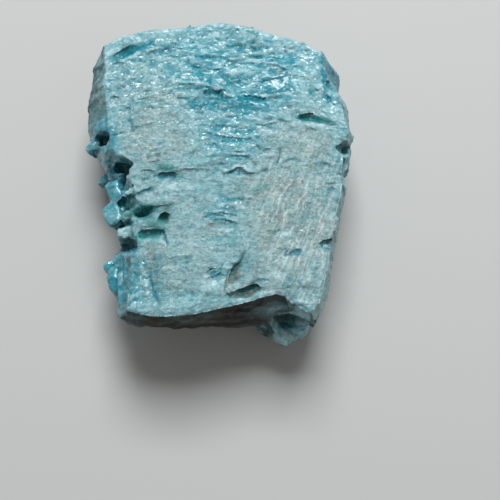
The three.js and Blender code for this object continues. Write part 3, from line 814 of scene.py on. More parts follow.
@dataclass
class StoneSurface:
    """The stone's visible surface: the solid's forms with the fine breakage added.

    Attributes:
        voxel: width of the cells that the copy of the solid is remeshed with.
        top_from: least upward share of a face's direction for it to be split finer.
        top_height: least height of such a face.
        teeth_edge: west of this, the faces of the toothed side are split finer too.
        teeth_span: where from south to north the teeth are.
        teeth_height: least height of a face of the teeth that is split finer.
        teeth_lean: least upward share of its direction.
        walls_span: where from south to north the walls between the teeth are fresh and clear.
        walls_fade: how far they fade out at both ends.
        walls_start: how far west of the middle they start, and are in full.
        walls_foot: heights between which they fade in.
        wall_clear: share of those walls that is clear; the rest is glassy.
        steep_slope: upward shares of a direction between which a face stops being steep.
        heal_rounds: rounds of smoothing that take the solid's own plate edges away.
        heal_glassy: how much of that smoothing glassy zones get.
        heal_plain: the same for matte and fibrous zones.
        slot_rounds: how wide the rims of slots are, in rounds of smoothing.
        slot_heal: how much of that smoothing slots and their rims get.
        teeth_fade: from west to east, where the top starts to be smoothed and where it is in full.
        slope_rounds: rounds of smoothing for the directions in which fragments stand out.
        edge_wear: share of the solid's edges that is worn away where they are chipped most.
        wear_rounds: how wide the chipped edges are, in rounds of smoothing.
        plate_arch: how the cleavage lines arch over the top, per millimetre from their crown.
        arch_crown: where from west to east the lines are highest.
        flat_height: height of the flat underside's edge, below which nothing moves.
        free_height: height from which everything moves freely.
        clear_share: how far fragments stand apart in clear zones, as a share of glassy ones.
        fibre_size: width, length and height of one fibre.
        fibre_slant: how far fibres lean east for each millimetre north.
        fibre_height: how far fibres stand apart.
        face_step: depth of the steps on the north and south faces.
        line_height: how far the fine lines along the plates stand apart.
        grit_height: height of the finest roughness.
        clear_deep: share of the deep colour in clear zones.
        matte_grey: share of the dull colour in matte zones.
        fibrous_grey: share of the dull colour in fibrous zones.
        hollow_shade_below: heights between which the painted shade of the hollow beside the lobe fades out.
        relief_rounds: rounds of smoothing that the fine relief is measured against.
        relief_full: relief that counts as a full edge or a full crevice.
        hollow_rounds: rounds of smoothing that slots and hollows are measured against.
        hollow_full: depth that counts as a full hollow.
        sharp_from: degrees between two faces from which their edge looks sharp.
    """

    voxel: float = 0.245
    top_from: float = 0.35
    top_height: float = 4.0
    teeth_edge: float = -8.0
    teeth_span: tuple[float, float] = (-9.0, 4.5)
    teeth_height: float = 3.0
    teeth_lean: float = -0.5
    walls_span: tuple[float, float] = (-8.0, 6.2)
    walls_fade: float = 1.5
    walls_start: tuple[float, float] = (5.6, 6.6)
    walls_foot: tuple[float, float] = (0.5, 4.0)
    wall_clear: float = 0.55
    steep_slope: tuple[float, float] = (0.35, 0.7)
    heal_rounds: int = 24
    heal_glassy: float = 0.45
    heal_plain: float = 0.92
    slot_rounds: int = 6
    slot_heal: float = 0.4
    teeth_fade: tuple[float, float] = (-9.0, -6.5)
    slope_rounds: int = 1
    edge_wear: float = 0.85
    wear_rounds: int = 16
    plate_arch: float = 0.010
    arch_crown: float = 0.5
    flat_height: float = 0.04
    free_height: float = 0.4
    clear_share: float = 0.35
    fibre_size: tuple[float, float, float] = (0.3, 3.0, 1.6)
    fibre_slant: float = 0.42
    fibre_height: float = 0.045
    face_step: float = 0.16
    line_height: float = 0.022
    grit_height: float = 0.018
    clear_deep: float = 0.35
    matte_grey: float = 0.5
    fibrous_grey: float = 0.65
    hollow_shade_below: tuple[float, float] = (8.0, 9.5)
    relief_rounds: int = 12
    relief_full: float = 0.08
    hollow_rounds: int = 90
    hollow_full: float = 0.55
    sharp_from: float = 38.0

    def build(self) -> bpy.types.Object:
        """Make the finished surface and put it in the place of the solid.

        Returns:
            The stone's visible piece.
        """
        stone = self.remeshed_copy()
        self.split_fine(stone.data)
        self.write(stone.data, self.sharpened(self.read(stone.data)[0]))
        points, normals = self.read(stone.data)
        habits = self.habit_weights(points, normals)
        hollow = self.relief(stone.data, points, self.hollow_rounds, self.hollow_full)
        self.write(stone.data, self.healed(stone.data, points, normals, habits, hollow))
        points, normals = self.read(stone.data)
        slopes = self.smoothed(stone.data, normals, self.slope_rounds)
        normals = slopes / np.linalg.norm(slopes, axis=1, keepdims=True)
        points = self.worn_edges(stone.data, points, hollow)
        points, tone = self.broken(points, normals, habits)
        self.write(stone.data, points)
        points, normals = self.read(stone.data)
        points = self.weathered(points, normals, habits)
        self.write(stone.data, points)
        self.paint(stone.data, points, habits, hollow, tone, slopes)
        stone.data.polygons.foreach_set("use_smooth", np.ones(len(stone.data.polygons), dtype=bool))
        stone.data.set_sharp_from_angle(angle=math.radians(self.sharp_from))
        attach(stone, BODY)
        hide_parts(NODE)
        return stone

    def remeshed_copy(self) -> bpy.types.Object:
        """Copy the solid and remesh it evenly.

        Returns:
            A new object with even square faces.
        """
        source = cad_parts[NODE]
        rough = bpy.data.objects.new("remesh_source", source.data.copy())
        bpy.context.scene.collection.objects.link(rough)
        remesh = rough.modifiers.new("even", "REMESH")
        remesh.mode = "VOXEL"
        remesh.voxel_size = self.voxel * MM_M
        remesh.adaptivity = 0.0
        graph = bpy.context.evaluated_depsgraph_get()
        mesh = bpy.data.meshes.new_from_object(rough.evaluated_get(graph))
        bpy.data.objects.remove(rough)
        mesh.materials.clear()
        mesh.name = "apatite_surface"
        stone = bpy.data.objects.new("apatite_surface", mesh)
        bpy.context.scene.collection.objects.link(stone)
        return stone

    def takes_detail(self, face: bmesh.types.BMFace) -> bool:
        """Say whether a face is on the top or the toothed side.

        Args:
            face: a face of the remeshed surface.

        Returns:
            Whether it is split finer.
        """
        place = face.calc_center_median() / MM_M
        south, north = self.teeth_span
        on_top = face.normal.z > self.top_from and place.z > self.top_height
        on_teeth = place.x < self.teeth_edge and south < place.y < north and place.z > self.teeth_height
        return on_top or (on_teeth and face.normal.z > self.teeth_lean)

    def split_fine(self, mesh: bpy.types.Mesh) -> None:
        """Split the faces that take the finest detail into four.

        Args:
            mesh: the remeshed surface.
        """
        work = bmesh.new()
        work.from_mesh(mesh)
        fine = [face for face in work.faces if self.takes_detail(face)]
        edges = list({edge for face in fine for edge in face.edges})
        bmesh.ops.subdivide_edges(work, edges=edges, cuts=1, use_grid_fill=True)
        bmesh.ops.triangulate(work, faces=[face for face in work.faces if len(face.verts) > 4])
        work.to_mesh(mesh)
        work.free()

    def sharpened(self, points: Array) -> Array:
        """Put points back on the solid, whose edges remeshing rounds.

        Args:
            points: places in millimetres.

        Returns:
            The nearest places on the solid.
        """
        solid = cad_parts[NODE].data
        corners = [vertex.co.copy() for vertex in solid.vertices]
        tree = BVHTree.FromPolygons(corners, [tuple(face.vertices) for face in solid.polygons])
        return np.array([tree.find_nearest(Vector(point * MM_M))[0] for point in points]) / MM_M

    def read(self, mesh: bpy.types.Mesh) -> tuple[Array, Array]:
        """Give a mesh's points in millimetres and the directions that they face.

        Args:
            mesh: the surface.

        Returns:
            The points, and their normals.
        """
        points = np.empty(len(mesh.vertices) * 3)
        normals = np.empty(len(mesh.vertices) * 3)
        mesh.vertices.foreach_get("co", points)
        mesh.vertex_normals.foreach_get("vector", normals)
        return points.reshape(-1, 3) / MM_M, normals.reshape(-1, 3)

    def write(self, mesh: bpy.types.Mesh, points: Array) -> None:
        """Move a mesh's points, inside the solid's own box.

        Args:
            mesh: the surface.
            points: the new places in millimetres.
        """
        low, high = (np.asarray(corner) / MM_M for corner in CAD_BOX)
        mesh.vertices.foreach_set("co", (np.clip(points, low, high) * MM_M).ravel())
        mesh.update()

    def habit_weights(self, points: Array, normals: Array) -> dict[Habit, Array]:
        """Say how glassy, matte and fibrous the surface is at each point.

        Args:
            points: places in millimetres.
            normals: directions that they face.

        Returns:
            One set of shares for each habit; at a point they add up to 1.
        """
        ragged = Grain(15).warp(points, 1.6, 0.7)
        weights = {habit: np.zeros(len(points)) for habit in Habit}
        half_ragged = 0.5 * (points + ragged)
        for zone in ZONES:
            places = half_ragged if zone.habit is Habit.CLEAR else ragged
            weights[zone.habit] = np.maximum(weights[zone.habit], zone.strength * zone.weight(places))
        side = 1.0 - ramp(normals[:, 2], 0.1, 0.55)
        glassy_side = 0.15 + 0.35 * Grain(16).smooth(points, 3.4)
        wall = self.tooth_walls(points, normals)
        clear = np.maximum(ramp(weights[Habit.CLEAR], 0.25, 0.6), self.wall_clear * wall)
        fibrous = np.clip(weights[Habit.FIBROUS], 0.0, 1.0) * (1.0 - side) * (1.0 - clear)
        glassy = np.maximum(weights[Habit.GLASSY], np.maximum(side * glassy_side, wall))
        glassy = np.clip(glassy, 0.0, 1.0)
        glassy *= 1.0 - np.maximum(fibrous, clear)
        matte = np.maximum(1.0 - glassy - fibrous - clear, 0.0)
        return {Habit.GLASSY: glassy, Habit.FIBROUS: fibrous, Habit.CLEAR: clear, Habit.MATTE: matte}

    def tooth_walls(self, points: Array, normals: Array) -> Array:
        """Say where the steep walls between the teeth are.

        Args:
            points: places in millimetres.
            normals: directions that they face.

        Returns:
            One share for each point.
        """
        ragged = Grain(14).warp(points, 1.4, 1.5)
        south, north = self.walls_span
        within = ramp(ragged[:, 1], south, south + self.walls_fade)
        within *= 1.0 - ramp(ragged[:, 1], north - self.walls_fade, north)
        west = ramp(-points[:, 0], *self.walls_start)
        return self.steep(normals) * within * west * ramp(ragged[:, 2], *self.walls_foot)

    def steep(self, directions: Array) -> Array:
        """Say how steep faces are, from 0 to 1, by the directions that they face."""
        return 1.0 - ramp(directions[:, 2], *self.steep_slope)

    def plate_space(self, points: Array) -> Array:
        """Straighten the arched cleavage lines, so that plates lie level along X.

        Args:
            points: places in millimetres.

        Returns:
            Places in which one plate keeps one Y.
        """
        bent = points.copy()
        bent[:, 1] += self.plate_arch * (points[:, 0] - self.arch_crown) ** 2
        return bent

    def moving(self, points: Array) -> Array:
        """Say how free each point is to move: not at all on the flat underside.

        Args:
            points: places in millimetres.

        Returns:
            One number from 0 to 1 for each point.
        """
        return ramp(points[:, 2], self.flat_height, self.free_height)

    def healed(
        self, mesh: bpy.types.Mesh, points: Array, normals: Array, habits: dict[Habit, Array], hollow: Array
    ) -> Array:
        """Smooth the solid's long straight plate edges away, but not its slots.

        Args:
            mesh: the surface.
            points: its points in millimetres.
            normals: directions that they face.
            habits: shares of the habits at each point.
            hollow: how deep in a slot or hollow each point lies.

        Returns:
            The new places.
        """
        share = self.heal_plain + (self.heal_glassy - self.heal_plain) * habits[Habit.GLASSY]
        slot = self.smoothed(mesh, 1.0 - ramp(hollow[:, None], -0.7, -0.35), self.slot_rounds)[:, 0]
        share *= ramp(normals[:, 2], 0.1, 0.6) * self.moving(points)
        share += (self.slot_heal - share) * ramp(slot, 0.0, 0.25)
        share *= ramp(points[:, 0], *self.teeth_fade)
        return points + share[:, None] * (self.smoothed(mesh, points, self.heal_rounds) - points)

    def worn_edges(self, mesh: bpy.types.Mesh, points: Array, hollow: Array) -> Array:
        """Chip the solid's long straight edges away unevenly.

        Args:
            mesh: the surface.
            points: its points in millimetres.
            hollow: how far each point lies in a hollow, or stands out on an edge.

        Returns:
            The new places.
        """
        chips = ramp(Grain(43).rough(points, 0.9, 3), -0.7, 0.4)
        share = self.edge_wear * ramp(hollow, 0.2, 0.8) * chips * self.moving(points)
        return points + share[:, None] * (self.smoothed(mesh, points, self.wear_rounds) - points)

    def broken(
        self, points: Array, normals: Array, habits: dict[Habit, Array]
    ) -> tuple[Array, Array]:
        """Break the surface into fragments of several sizes, with its ledges, furrows and breaks.

        Args:
            points: places in millimetres.
            normals: directions that they face.
            habits: shares of the habits at each point.

        Returns:
            The new places, and how light or dark the fragments are, from 0 to 1.
        """
        plates = self.plate_space(points)
        rise = np.zeros(len(points))
        tone = np.zeros(len(points))
        for number, breakage in enumerate(BREAKAGES):
            ragged = Grain(21 + number).warp(plates, breakage.size[1] * 1.8, breakage.ragged)
            piece = Grain(31 + number).cells(ragged, breakage.size)
            height = (
                breakage.glassy * (habits[Habit.GLASSY] + self.clear_share * habits[Habit.CLEAR])
                + breakage.matte * habits[Habit.MATTE]
                + breakage.fibrous * habits[Habit.FIBROUS]
            )
            tilt = (piece.lot[:, 1] - 0.5 - breakage.lean) * piece.offset[:, 1]
            tilt += (piece.lot[:, 2] - 0.5) * piece.offset[:, 0]
            rise += height * (2.0 * piece.lot[:, 0] - 1.0 + breakage.tilt * tilt)
            tone += breakage.tone * piece.lot[:, 1]
        rise += self.end_face_steps(points, normals)
        upward = ramp(normals[:, 2], 0.2, 0.6)
        rise += upward * (self.dishes(points) + self.seams(points))
        return points + (rise * self.moving(points))[:, None] * normals, tone

    def end_face_steps(self, points: Array, normals: Array) -> Array:
        """Step the north and south faces, where whole plates have come away.

        Args:
            points: places in millimetres.
            normals: directions that they face.

        Returns:
            How far each point moves out.
        """
        facing = ramp(np.abs(normals[:, 1]), 0.55, 0.85)
        ragged = Grain(18).warp(points, 1.1, 0.5)
        piece = Grain(19).cells(ragged, (3.4, 50.0, 2.3))
        return -self.face_step * facing * np.floor(3.0 * piece.lot[:, 0]) / 2.0

    def dishes(self, points: Array) -> Array:
        """Sink the shell-like breaks and raise the nodules of the top.

        Args:
            points: places in millimetres.

        Returns:
            How far each point moves out.
        """
        rise = np.zeros(len(points))
        ragged = Grain(17).warp(points, 0.9, 0.25)
        for dish in DISHES:
            along, across = dish.local(ragged)
            out = np.sqrt(along**2 + across**2)
            bowl = np.clip(1.0 - out**2, 0.0, 1.0) ** 0.6
            waves = dish.ripples * np.cos(out * 5.0 * math.pi) * (out < 1.0)
            rise += waves - dish.depth * bowl
        return rise

    def ragged_seams(self, points: Array) -> Array:
        """Shift points a little, so that ledges and furrows run unevenly.

        Args:
            points: places in millimetres.

        Returns:
            The shifted places.
        """
        return Grain(42).warp(Grain(41).warp(points, 1.4, 0.12), 0.35, 0.06)

    def seams(self, points: Array) -> Array:
        """Lift and lower the top along its ledges and furrows.

        Args:
            points: places in millimetres.

        Returns:
            How far each point moves out.
        """
        ragged = self.ragged_seams(points)
        return sum((seam.rise(ragged) for seam in (*LEDGES, *GROOVES)), np.zeros(len(points)))

    def weathered(self, points: Array, normals: Array, habits: dict[Habit, Array]) -> Array:
        """Add the fibres, the fine lines along the plates and the finest grit.

        Args:
            points: places in millimetres.
            normals: directions that they face.
            habits: shares of the habits at each point.

        Returns:
            The new places.
        """
        slanted = points.copy()
        slanted[:, 0] -= self.fibre_slant * points[:, 1]
        fibre = Grain(51).rough(Grain(52).warp(slanted, 1.8, 0.3), self.fibre_size, 2)
        lines = Grain(53).rough(self.plate_space(points), (1.8, 0.24, 1.6), 2)
        grit = Grain(54).rough(points, 0.3, 2)
        rise = (
            self.fibre_height * fibre * habits[Habit.FIBROUS]
            + self.line_height * lines * (1.0 - habits[Habit.FIBROUS]) * (1.0 - habits[Habit.CLEAR])
            + self.grit_height * grit * (1.0 - 0.8 * habits[Habit.CLEAR])
        )
        return points + (rise * self.moving(points))[:, None] * normals

    def smoothed(self, mesh: bpy.types.Mesh, values: Array, rounds: int) -> Array:
        """Even out places or numbers with those of the neighbouring points.

        Args:
            mesh: the surface.
            values: one row for each of its points.
            rounds: how many times they are evened out.

        Returns:
            The smoothed rows.
        """
        edges = np.empty(len(mesh.edges) * 2, dtype=np.int64)
        mesh.edges.foreach_get("vertices", edges)
        first, last = edges.reshape(-1, 2).T
        count = np.bincount(first, minlength=len(values)) + np.bincount(last, minlength=len(values))
        smooth = values.copy()
        for _ in range(rounds):
            for column in range(values.shape[1]):
                flow = np.bincount(first, smooth[last, column], len(values))
                flow += np.bincount(last, smooth[first, column], len(values))
                smooth[:, column] = flow / np.maximum(count, 1)
        return smooth

    def relief(self, mesh: bpy.types.Mesh, points: Array, rounds: int, full: float) -> Array:
        """Measure how far each point stands out of, or lies in, the surface round it.

        Args:
            mesh: the surface.
            points: its points in millimetres.
            rounds: rounds of smoothing that it is measured against.
            full: distance that counts as full.

        Returns:
            From -1 in a crevice to 1 on an edge.
        """
        away = points - self.smoothed(mesh, points, rounds)
        height = np.einsum("ij,ij->i", away, self.read(mesh)[1])
        return np.clip(height / full, -1.0, 1.0)

    def paint(
        self,
        mesh: bpy.types.Mesh,
        points: Array,
        habits: dict[Habit, Array],
        hollow: Array,
        tone: Array,
        slopes: Array,
    ) -> None:
        """Store the shares that the finish reads: colours, habits, relief, and the painted shade of the
        flanks, crevices, slots and hollows.

        Args:
            mesh: the surface.
            points: its points in millimetres.
            habits: shares of the habits at each point.
            hollow: how deep in a slot or hollow each point lies.
            tone: how light or dark the fragments are.
            slopes: directions that the solid under the fragments faces.
        """
        normals = self.read(mesh)[1]
        ragged = Grain(62).warp(Grain(61).warp(points, 1.5, 0.35), 0.4, 0.16)
        shares = {tint: np.zeros(len(points)) for tint in Tint}
        for patch in PATCHES:
            share = patch.strength * patch.weight(ragged)
            shares[patch.tint] = overlaid(shares[patch.tint], np.minimum(share, 1.0))
        # The painted shade of the hollow beside the lobe stays below the top.
        shares[Tint.DARK] *= 1.0 - ramp(points[:, 2], *self.hollow_shade_below)
        top = ramp(normals[:, 2], 0.0, 0.4)
        layers = {tint.value: share * (0.35 + 0.65 * top) for tint, share in shares.items()}
        layers |= {habit.value: share for habit, share in habits.items()}
        layers["relief"] = self.relief(mesh, points, self.relief_rounds, self.relief_full)
        layers["hollow"] = hollow
        lines = self.ragged_seams(points)
        # Painted shade under each ledge, on its low side, and along each furrow.
        shade = np.max([seam.dark(lines) for seam in (*LEDGES, *GROOVES)], axis=0)
        layers["shade"] = shade * top
        layers["tone"] = tone
        fresh = 0.6 * habits[Habit.GLASSY] + habits[Habit.CLEAR]
        east, south = ramp(slopes[:, 0], 0.15, 0.6), ramp(-slopes[:, 1], 0.4, 0.8)
        # Partly real dull colour, partly painted shade: steep sides, least those facing east, take the dark
        # flank colour.
        layers["flank_dull_and_shade"] = self.steep(slopes) * (1.0 - fresh) * (1.0 - 0.9 * east)
        # Partly real crust, partly painted shade: steep south-facing sides take the near-black south
        # colour.
        layers["south"] = self.steep(slopes) * south * (1.0 - 0.9 * np.minimum(1.2 * fresh, 1.0))
        dull = self.matte_grey * habits[Habit.MATTE] + self.fibrous_grey * habits[Habit.FIBROUS]
        layers["deep"] = overlaid(layers["deep"], self.clear_deep * habits[Habit.CLEAR])
        layers["grey"] = overlaid(layers["grey"], dull)
        for name, values in layers.items():
            layer = mesh.attributes.new(name, "FLOAT", "POINT")
            layer.data.foreach_set("value", values.astype(np.float32))


class Board:
    """A material's nodes, with short calls for the kinds used here.

    Attributes:
        material: the material being made.
        nodes: its nodes.
        links: its links.
    """

    def __init__(self, name: str) -> None:
        """Start an empty material.

        Args:
            name: the material's name.
        """
        self.material = bpy.data.materials.new(name)
        self.material.use_nodes = True
        self.nodes = self.material.node_tree.nodes
        self.links = self.material.node_tree.links
        self.nodes.clear()

    def node(self, kind: str, **settings: Any) -> bpy.types.Node:
        """Add a node and set its properties.

        Args:
            kind: Blender's name for the node.
            settings: properties of the node.

        Returns:
            The new node.
        """
        made = self.nodes.new(kind)
        for name, value in settings.items():
            setattr(made, name, value)
        return made

    def feed(self, socket: bpy.types.NodeSocket, value: Any) -> None:
        """Link a socket, or set it to a fixed value.

        Args:
            socket: the socket to be fed.
            value: another socket, or a value.
        """
        if isinstance(value, bpy.types.NodeSocket):
            self.links.new(value, socket)
        elif isinstance(value, tuple) and len(value) == 3 and socket.type == "RGBA":
            socket.default_value = (*value, 1.0)
        else:
            socket.default_value = value

    def layer(self, name: str) -> bpy.types.NodeSocket:
        """Read a number stored on the mesh.

        Args:
            name: the stored layer's name.

        Returns:
            The number's socket.
        """
        return self.node("ShaderNodeAttribute", attribute_name=name).outputs["Fac"]

    def math(self, operation: str, *values: Any, clamp: bool = False) -> bpy.types.NodeSocket:
        """Work out a number.

        Args:
            operation: the kind of sum.
            values: its inputs.
            clamp: whether the result is kept from 0 to 1.

        Returns:
            The result's socket.
        """
        made = self.node("ShaderNodeMath", operation=operation, use_clamp=clamp)
        for socket, value in zip(made.inputs, values):
            self.feed(socket, value)
        return made.outputs[0]

    def mix(self, share: Any, first: Any, second: Any) -> bpy.types.NodeSocket:
        """Mix two colours.

        Args:
            share: how much of the second colour is used.
            first: the first colour.
            second: the second colour.

        Returns:
            The mixed colour's socket.
        """
        made = self.node("ShaderNodeMix", data_type="RGBA", clamp_factor=True)
        self.feed(made.inputs["Factor"], share)
        self.feed(made.inputs[6], first)
        self.feed(made.inputs[7], second)
        return made.outputs[2]

    def between(
        self, value: Any, low: float, high: float, start: float, end: float
    ) -> bpy.types.NodeSocket:
        """Map a range of numbers to another, held at its ends.

        Args:
            value: the number's socket.
            low: value that gives start.
            high: value that gives end.
            start: first result.
            end: last result.

        Returns:
            The result's socket.
        """
        made = self.node("ShaderNodeMapRange", interpolation_type="SMOOTHSTEP")
        for socket, item in zip(made.inputs, (value, low, high, start, end)):
            self.feed(socket, item)
        return made.outputs[0]

    def stretched(
        self, size: tuple[float, float, float], turn: float = 0.0, sway: float = 0.0
    ) -> bpy.types.NodeSocket:
        """Give places on the object, in waves of a given size.

        Args:
            size: length of one wave along X, Y and Z, in millimetres.
            turn: degrees to turn the waves about Z.
            sway: how far the waves wander, in millimetres.

        Returns:
            The places' socket.
        """
        place = self.node("ShaderNodeTexCoord").outputs["Object"]
        if sway:
            bend = self.node("ShaderNodeTexNoise")
            self.feed(bend.inputs["Vector"], place)
            bend.inputs["Scale"].default_value = 1.0 / (4.0 * sway * MM_M)
            bend.inputs["Detail"].default_value = 1.0
            middle = self.node("ShaderNodeVectorMath", operation="SUBTRACT")
            self.feed(middle.inputs[0], bend.outputs["Color"])
            middle.inputs[1].default_value = (0.5, 0.5, 0.5)
            shift = self.node("ShaderNodeVectorMath", operation="SCALE")
            self.feed(shift.inputs[0], middle.outputs[0])
            shift.inputs["Scale"].default_value = 2.0 * sway * MM_M
            moved = self.node("ShaderNodeVectorMath", operation="ADD")
            self.feed(moved.inputs[0], place)
            self.feed(moved.inputs[1], shift.outputs[0])
            place = moved.outputs[0]
        turned = self.node("ShaderNodeMapping", vector_type="POINT")
        self.feed(turned.inputs["Vector"], place)
        turned.inputs["Rotation"].default_value = (0.0, 0.0, math.radians(turn))
        scaled = self.node("ShaderNodeMapping", vector_type="POINT")
        self.feed(scaled.inputs["Vector"], turned.outputs[0])
        scaled.inputs["Scale"].default_value = tuple(1.0 / (length * MM_M) for length in size)
        return scaled.outputs[0]

    def noise(
        self, place: bpy.types.NodeSocket, detail: float, roughness: float
    ) -> bpy.types.NodeSocket:
        """Give noise from 0 to 1.

        Args:
            place: where the noise is read.
            detail: how many finer layers it has.
            roughness: how strong they are.

        Returns:
            The noise's socket.
        """
        made = self.node("ShaderNodeTexNoise")
        self.feed(made.inputs["Vector"], place)
        made.inputs["Scale"].default_value = 1.0
        made.inputs["Detail"].default_value = detail
        made.inputs["Roughness"].default_value = roughness
        return made.outputs["Fac"]

    def facets(self, place: bpy.types.NodeSocket) -> tuple[bpy.types.NodeSocket, bpy.types.NodeSocket]:
        """Give tilted crystal facets.

        Args:
            place: where the facets are read, one wave to a facet.

        Returns:
            The facets' height, and a number from 0 to 1 for each facet.
        """
        cell = self.node("ShaderNodeTexVoronoi", feature="F1", distance="EUCLIDEAN")
        self.feed(cell.inputs["Vector"], place)
        cell.inputs["Scale"].default_value = 1.0
        away = self.node("ShaderNodeVectorMath", operation="SUBTRACT")
        self.feed(away.inputs[0], place)
        self.feed(away.inputs[1], cell.outputs["Position"])
        slope = self.node("ShaderNodeVectorMath", operation="SUBTRACT")
        self.feed(slope.inputs[0], cell.outputs["Color"])
        slope.inputs[1].default_value = (0.5, 0.5, 0.5)
        tilt = self.node("ShaderNodeVectorMath", operation="DOT_PRODUCT")
        self.feed(tilt.inputs[0], away.outputs[0])
        self.feed(tilt.inputs[1], slope.outputs[0])
        lot = self.node("ShaderNodeSeparateColor")
        self.feed(lot.inputs[0], cell.outputs["Color"])
        return tilt.outputs["Value"], lot.outputs[1]


@dataclass(frozen=True)
class ApatiteFinish:
    """Broken blue-green apatite: matte and pale where powdered, glassy and deep where fresh.

    Attributes:
        common: the stone's common blue-green.
        light: the paler of its two mottled colours.
        deep: fresh turquoise of the clearest patches, also painted into crevices as shade.
        grey: grey-green of the matte planes.
        grey_dark: the darker speckles of the matte planes.
        pale: powdered, nearly white stone, also painted on raised edges as highlight.
        stain: brown of the rusty seams.
        slot: deep teal painted down in the slots and hollows, and on their walls, as their shade.
        painted_shade: nearly black green painted where ledge crevices, furrows and the hollow beside the
            lobe lie in shade.
        flank_dull_and_shade: dark dull grey-green of the steep sides, partly their own weathered colour,
            partly painted shade.
        south: near-black brown of the south face, partly its real crust, partly painted shade.
        fibre_dark: the darker of the fibres.
        fibre_light: the paler of the fibres.
        glow: how far red, green and blue light travel in the stone, against its scale.
        glow_scale: that scale, in millimetres.
        glow_share: share of the light that travels in the stone.
        ior: apatite's index of refraction.
        facet_height: how steeply the facets slope.
        chip_height: how steeply the small chips slope.
        grit_height: height of the grit on dull and on glassy stone.
        roughness: of dull and of mirror-like stone.
    """

    common: tuple[float, float, float] = (0.080, 0.360, 0.430)
    light: tuple[float, float, float] = (0.280, 0.560, 0.620)
    deep: tuple[float, float, float] = (0.002, 0.225, 0.300)
    grey: tuple[float, float, float] = (0.345, 0.442, 0.440)
    grey_dark: tuple[float, float, float] = (0.170, 0.290, 0.290)
    pale: tuple[float, float, float] = (0.600, 0.810, 0.850)
    stain: tuple[float, float, float] = (0.190, 0.145, 0.085)
    slot: tuple[float, float, float] = (0.008, 0.210, 0.200)
    painted_shade: tuple[float, float, float] = (0.005, 0.060, 0.065)
    flank_dull_and_shade: tuple[float, float, float] = (0.070, 0.092, 0.082)
    south: tuple[float, float, float] = (0.022, 0.013, 0.007)
    fibre_dark: tuple[float, float, float] = (0.190, 0.275, 0.270)
    fibre_light: tuple[float, float, float] = (0.600, 0.640, 0.610)
    glow: tuple[float, float, float] = (0.15, 0.80, 1.0)
    glow_scale: float = 0.40
    glow_share: float = 0.55
    ior: float = 1.63
    facet_height: float = 0.26
    chip_height: float = 0.05
    grit_height: tuple[float, float] = (0.030, 0.004)
    roughness: tuple[float, float] = (0.60, 0.14)

    def material(self) -> bpy.types.Material:
        """Make the material.

        Returns:
            The finished material.
        """
        board = Board("apatite")
        shader = board.node("ShaderNodeBsdfPrincipled")
        out = board.node("ShaderNodeOutputMaterial")
        board.links.new(shader.outputs[0], out.inputs[0])
        facet = board.facets(board.stretched((0.42, 0.26, 0.4), sway=0.1))
        chip = board.facets(board.stretched((0.17, 0.12, 0.17)))
        board.feed(shader.inputs["Base Color"], self.colour(board, facet[1]))
        board.feed(shader.inputs["Roughness"], self.gloss(board, facet[1], chip[1]))
        board.feed(shader.inputs["Normal"], self.fine_relief(board, facet[0], chip[0]))
        shader.inputs["IOR"].default_value = self.ior
        shader.inputs["Subsurface Weight"].default_value = self.glow_share
        shader.inputs["Subsurface Radius"].default_value = self.glow
        shader.inputs["Subsurface Scale"].default_value = self.glow_scale * MM_M
        return board.material

    def colour(self, board: Board, lot: bpy.types.NodeSocket) -> bpy.types.NodeSocket:
        """Lay the stone's colours over each other.

        Args:
            board: the material's nodes.
            lot: a number from 0 to 1 for each facet.

        Returns:
            The colour's socket.
        """
        mottle = board.noise(board.stretched((1.8, 0.6, 1.2), sway=0.3), 4.0, 0.65)
        powder = board.noise(board.stretched((0.55, 0.35, 0.5)), 4.0, 0.7)
        colour = self.glassed(board, lot, mottle)
        colour = self.greyed(board, colour)
        colour = self.fibred(board, colour)
        colour = self.specked(board, colour)
        colour = self.deepened(board, colour, lot)
        colour = self.powdered(board, colour, powder)
        colour = self.shade_flanks(board, colour, mottle)
        # Painted shade: slots and hollows darkened to deep teal by their depth.
        hollow = board.between(board.layer("hollow"), -1.0, -0.3, 0.95, 0.0)
        colour = board.mix(hollow, colour, self.slot)
        # Painted shade: the crevices under ledges and the furrows, towards nearly black green.
        colour = board.mix(board.math("MULTIPLY", board.layer("shade"), 0.5), colour, self.painted_shade)
        # Painted shade: the teal patches on shaded slot walls.
        colour = board.mix(board.math("MULTIPLY", board.layer("teal"), 0.9), colour, self.slot)
        # Painted shade in the hollow beside the lobe.
        colour = board.mix(board.math("MULTIPLY", board.layer("dark"), 0.9), colour, self.painted_shade)
        rust = board.math("MULTIPLY", board.layer("stain"), board.between(powder, 0.35, 0.6, 0.4, 1.0))
        return board.mix(rust, colour, self.stain)

    def glassed(
        self, board: Board, lot: bpy.types.NodeSocket, mottle: bpy.types.NodeSocket
    ) -> bpy.types.NodeSocket:
        """Mottle the stone's common colour, with pale and deep facets where it is glassy.

        Args:
            board: the material's nodes.
            lot: a number from 0 to 1 for each facet.
            mottle: noise that lightens and darkens the stone.

        Returns:
            The colour's socket.
        """
        tone = board.math("ADD", board.layer("tone"), board.between(mottle, 0.3, 0.7, -0.2, 0.2))
        colour = board.mix(board.between(tone, 0.3, 0.72, 0.0, 1.0), self.common, self.light)
        glassy = board.layer("glassy")
        pale_facet = board.math("MULTIPLY", board.between(lot, 0.55, 0.95, 0.0, 0.7), glassy)
        colour = board.mix(pale_facet, colour, self.pale)
        deep_facet = board.math("MULTIPLY", board.between(lot, 0.05, 0.42, 0.55, 0.0), glassy)
        return board.mix(deep_facet, colour, self.deep)

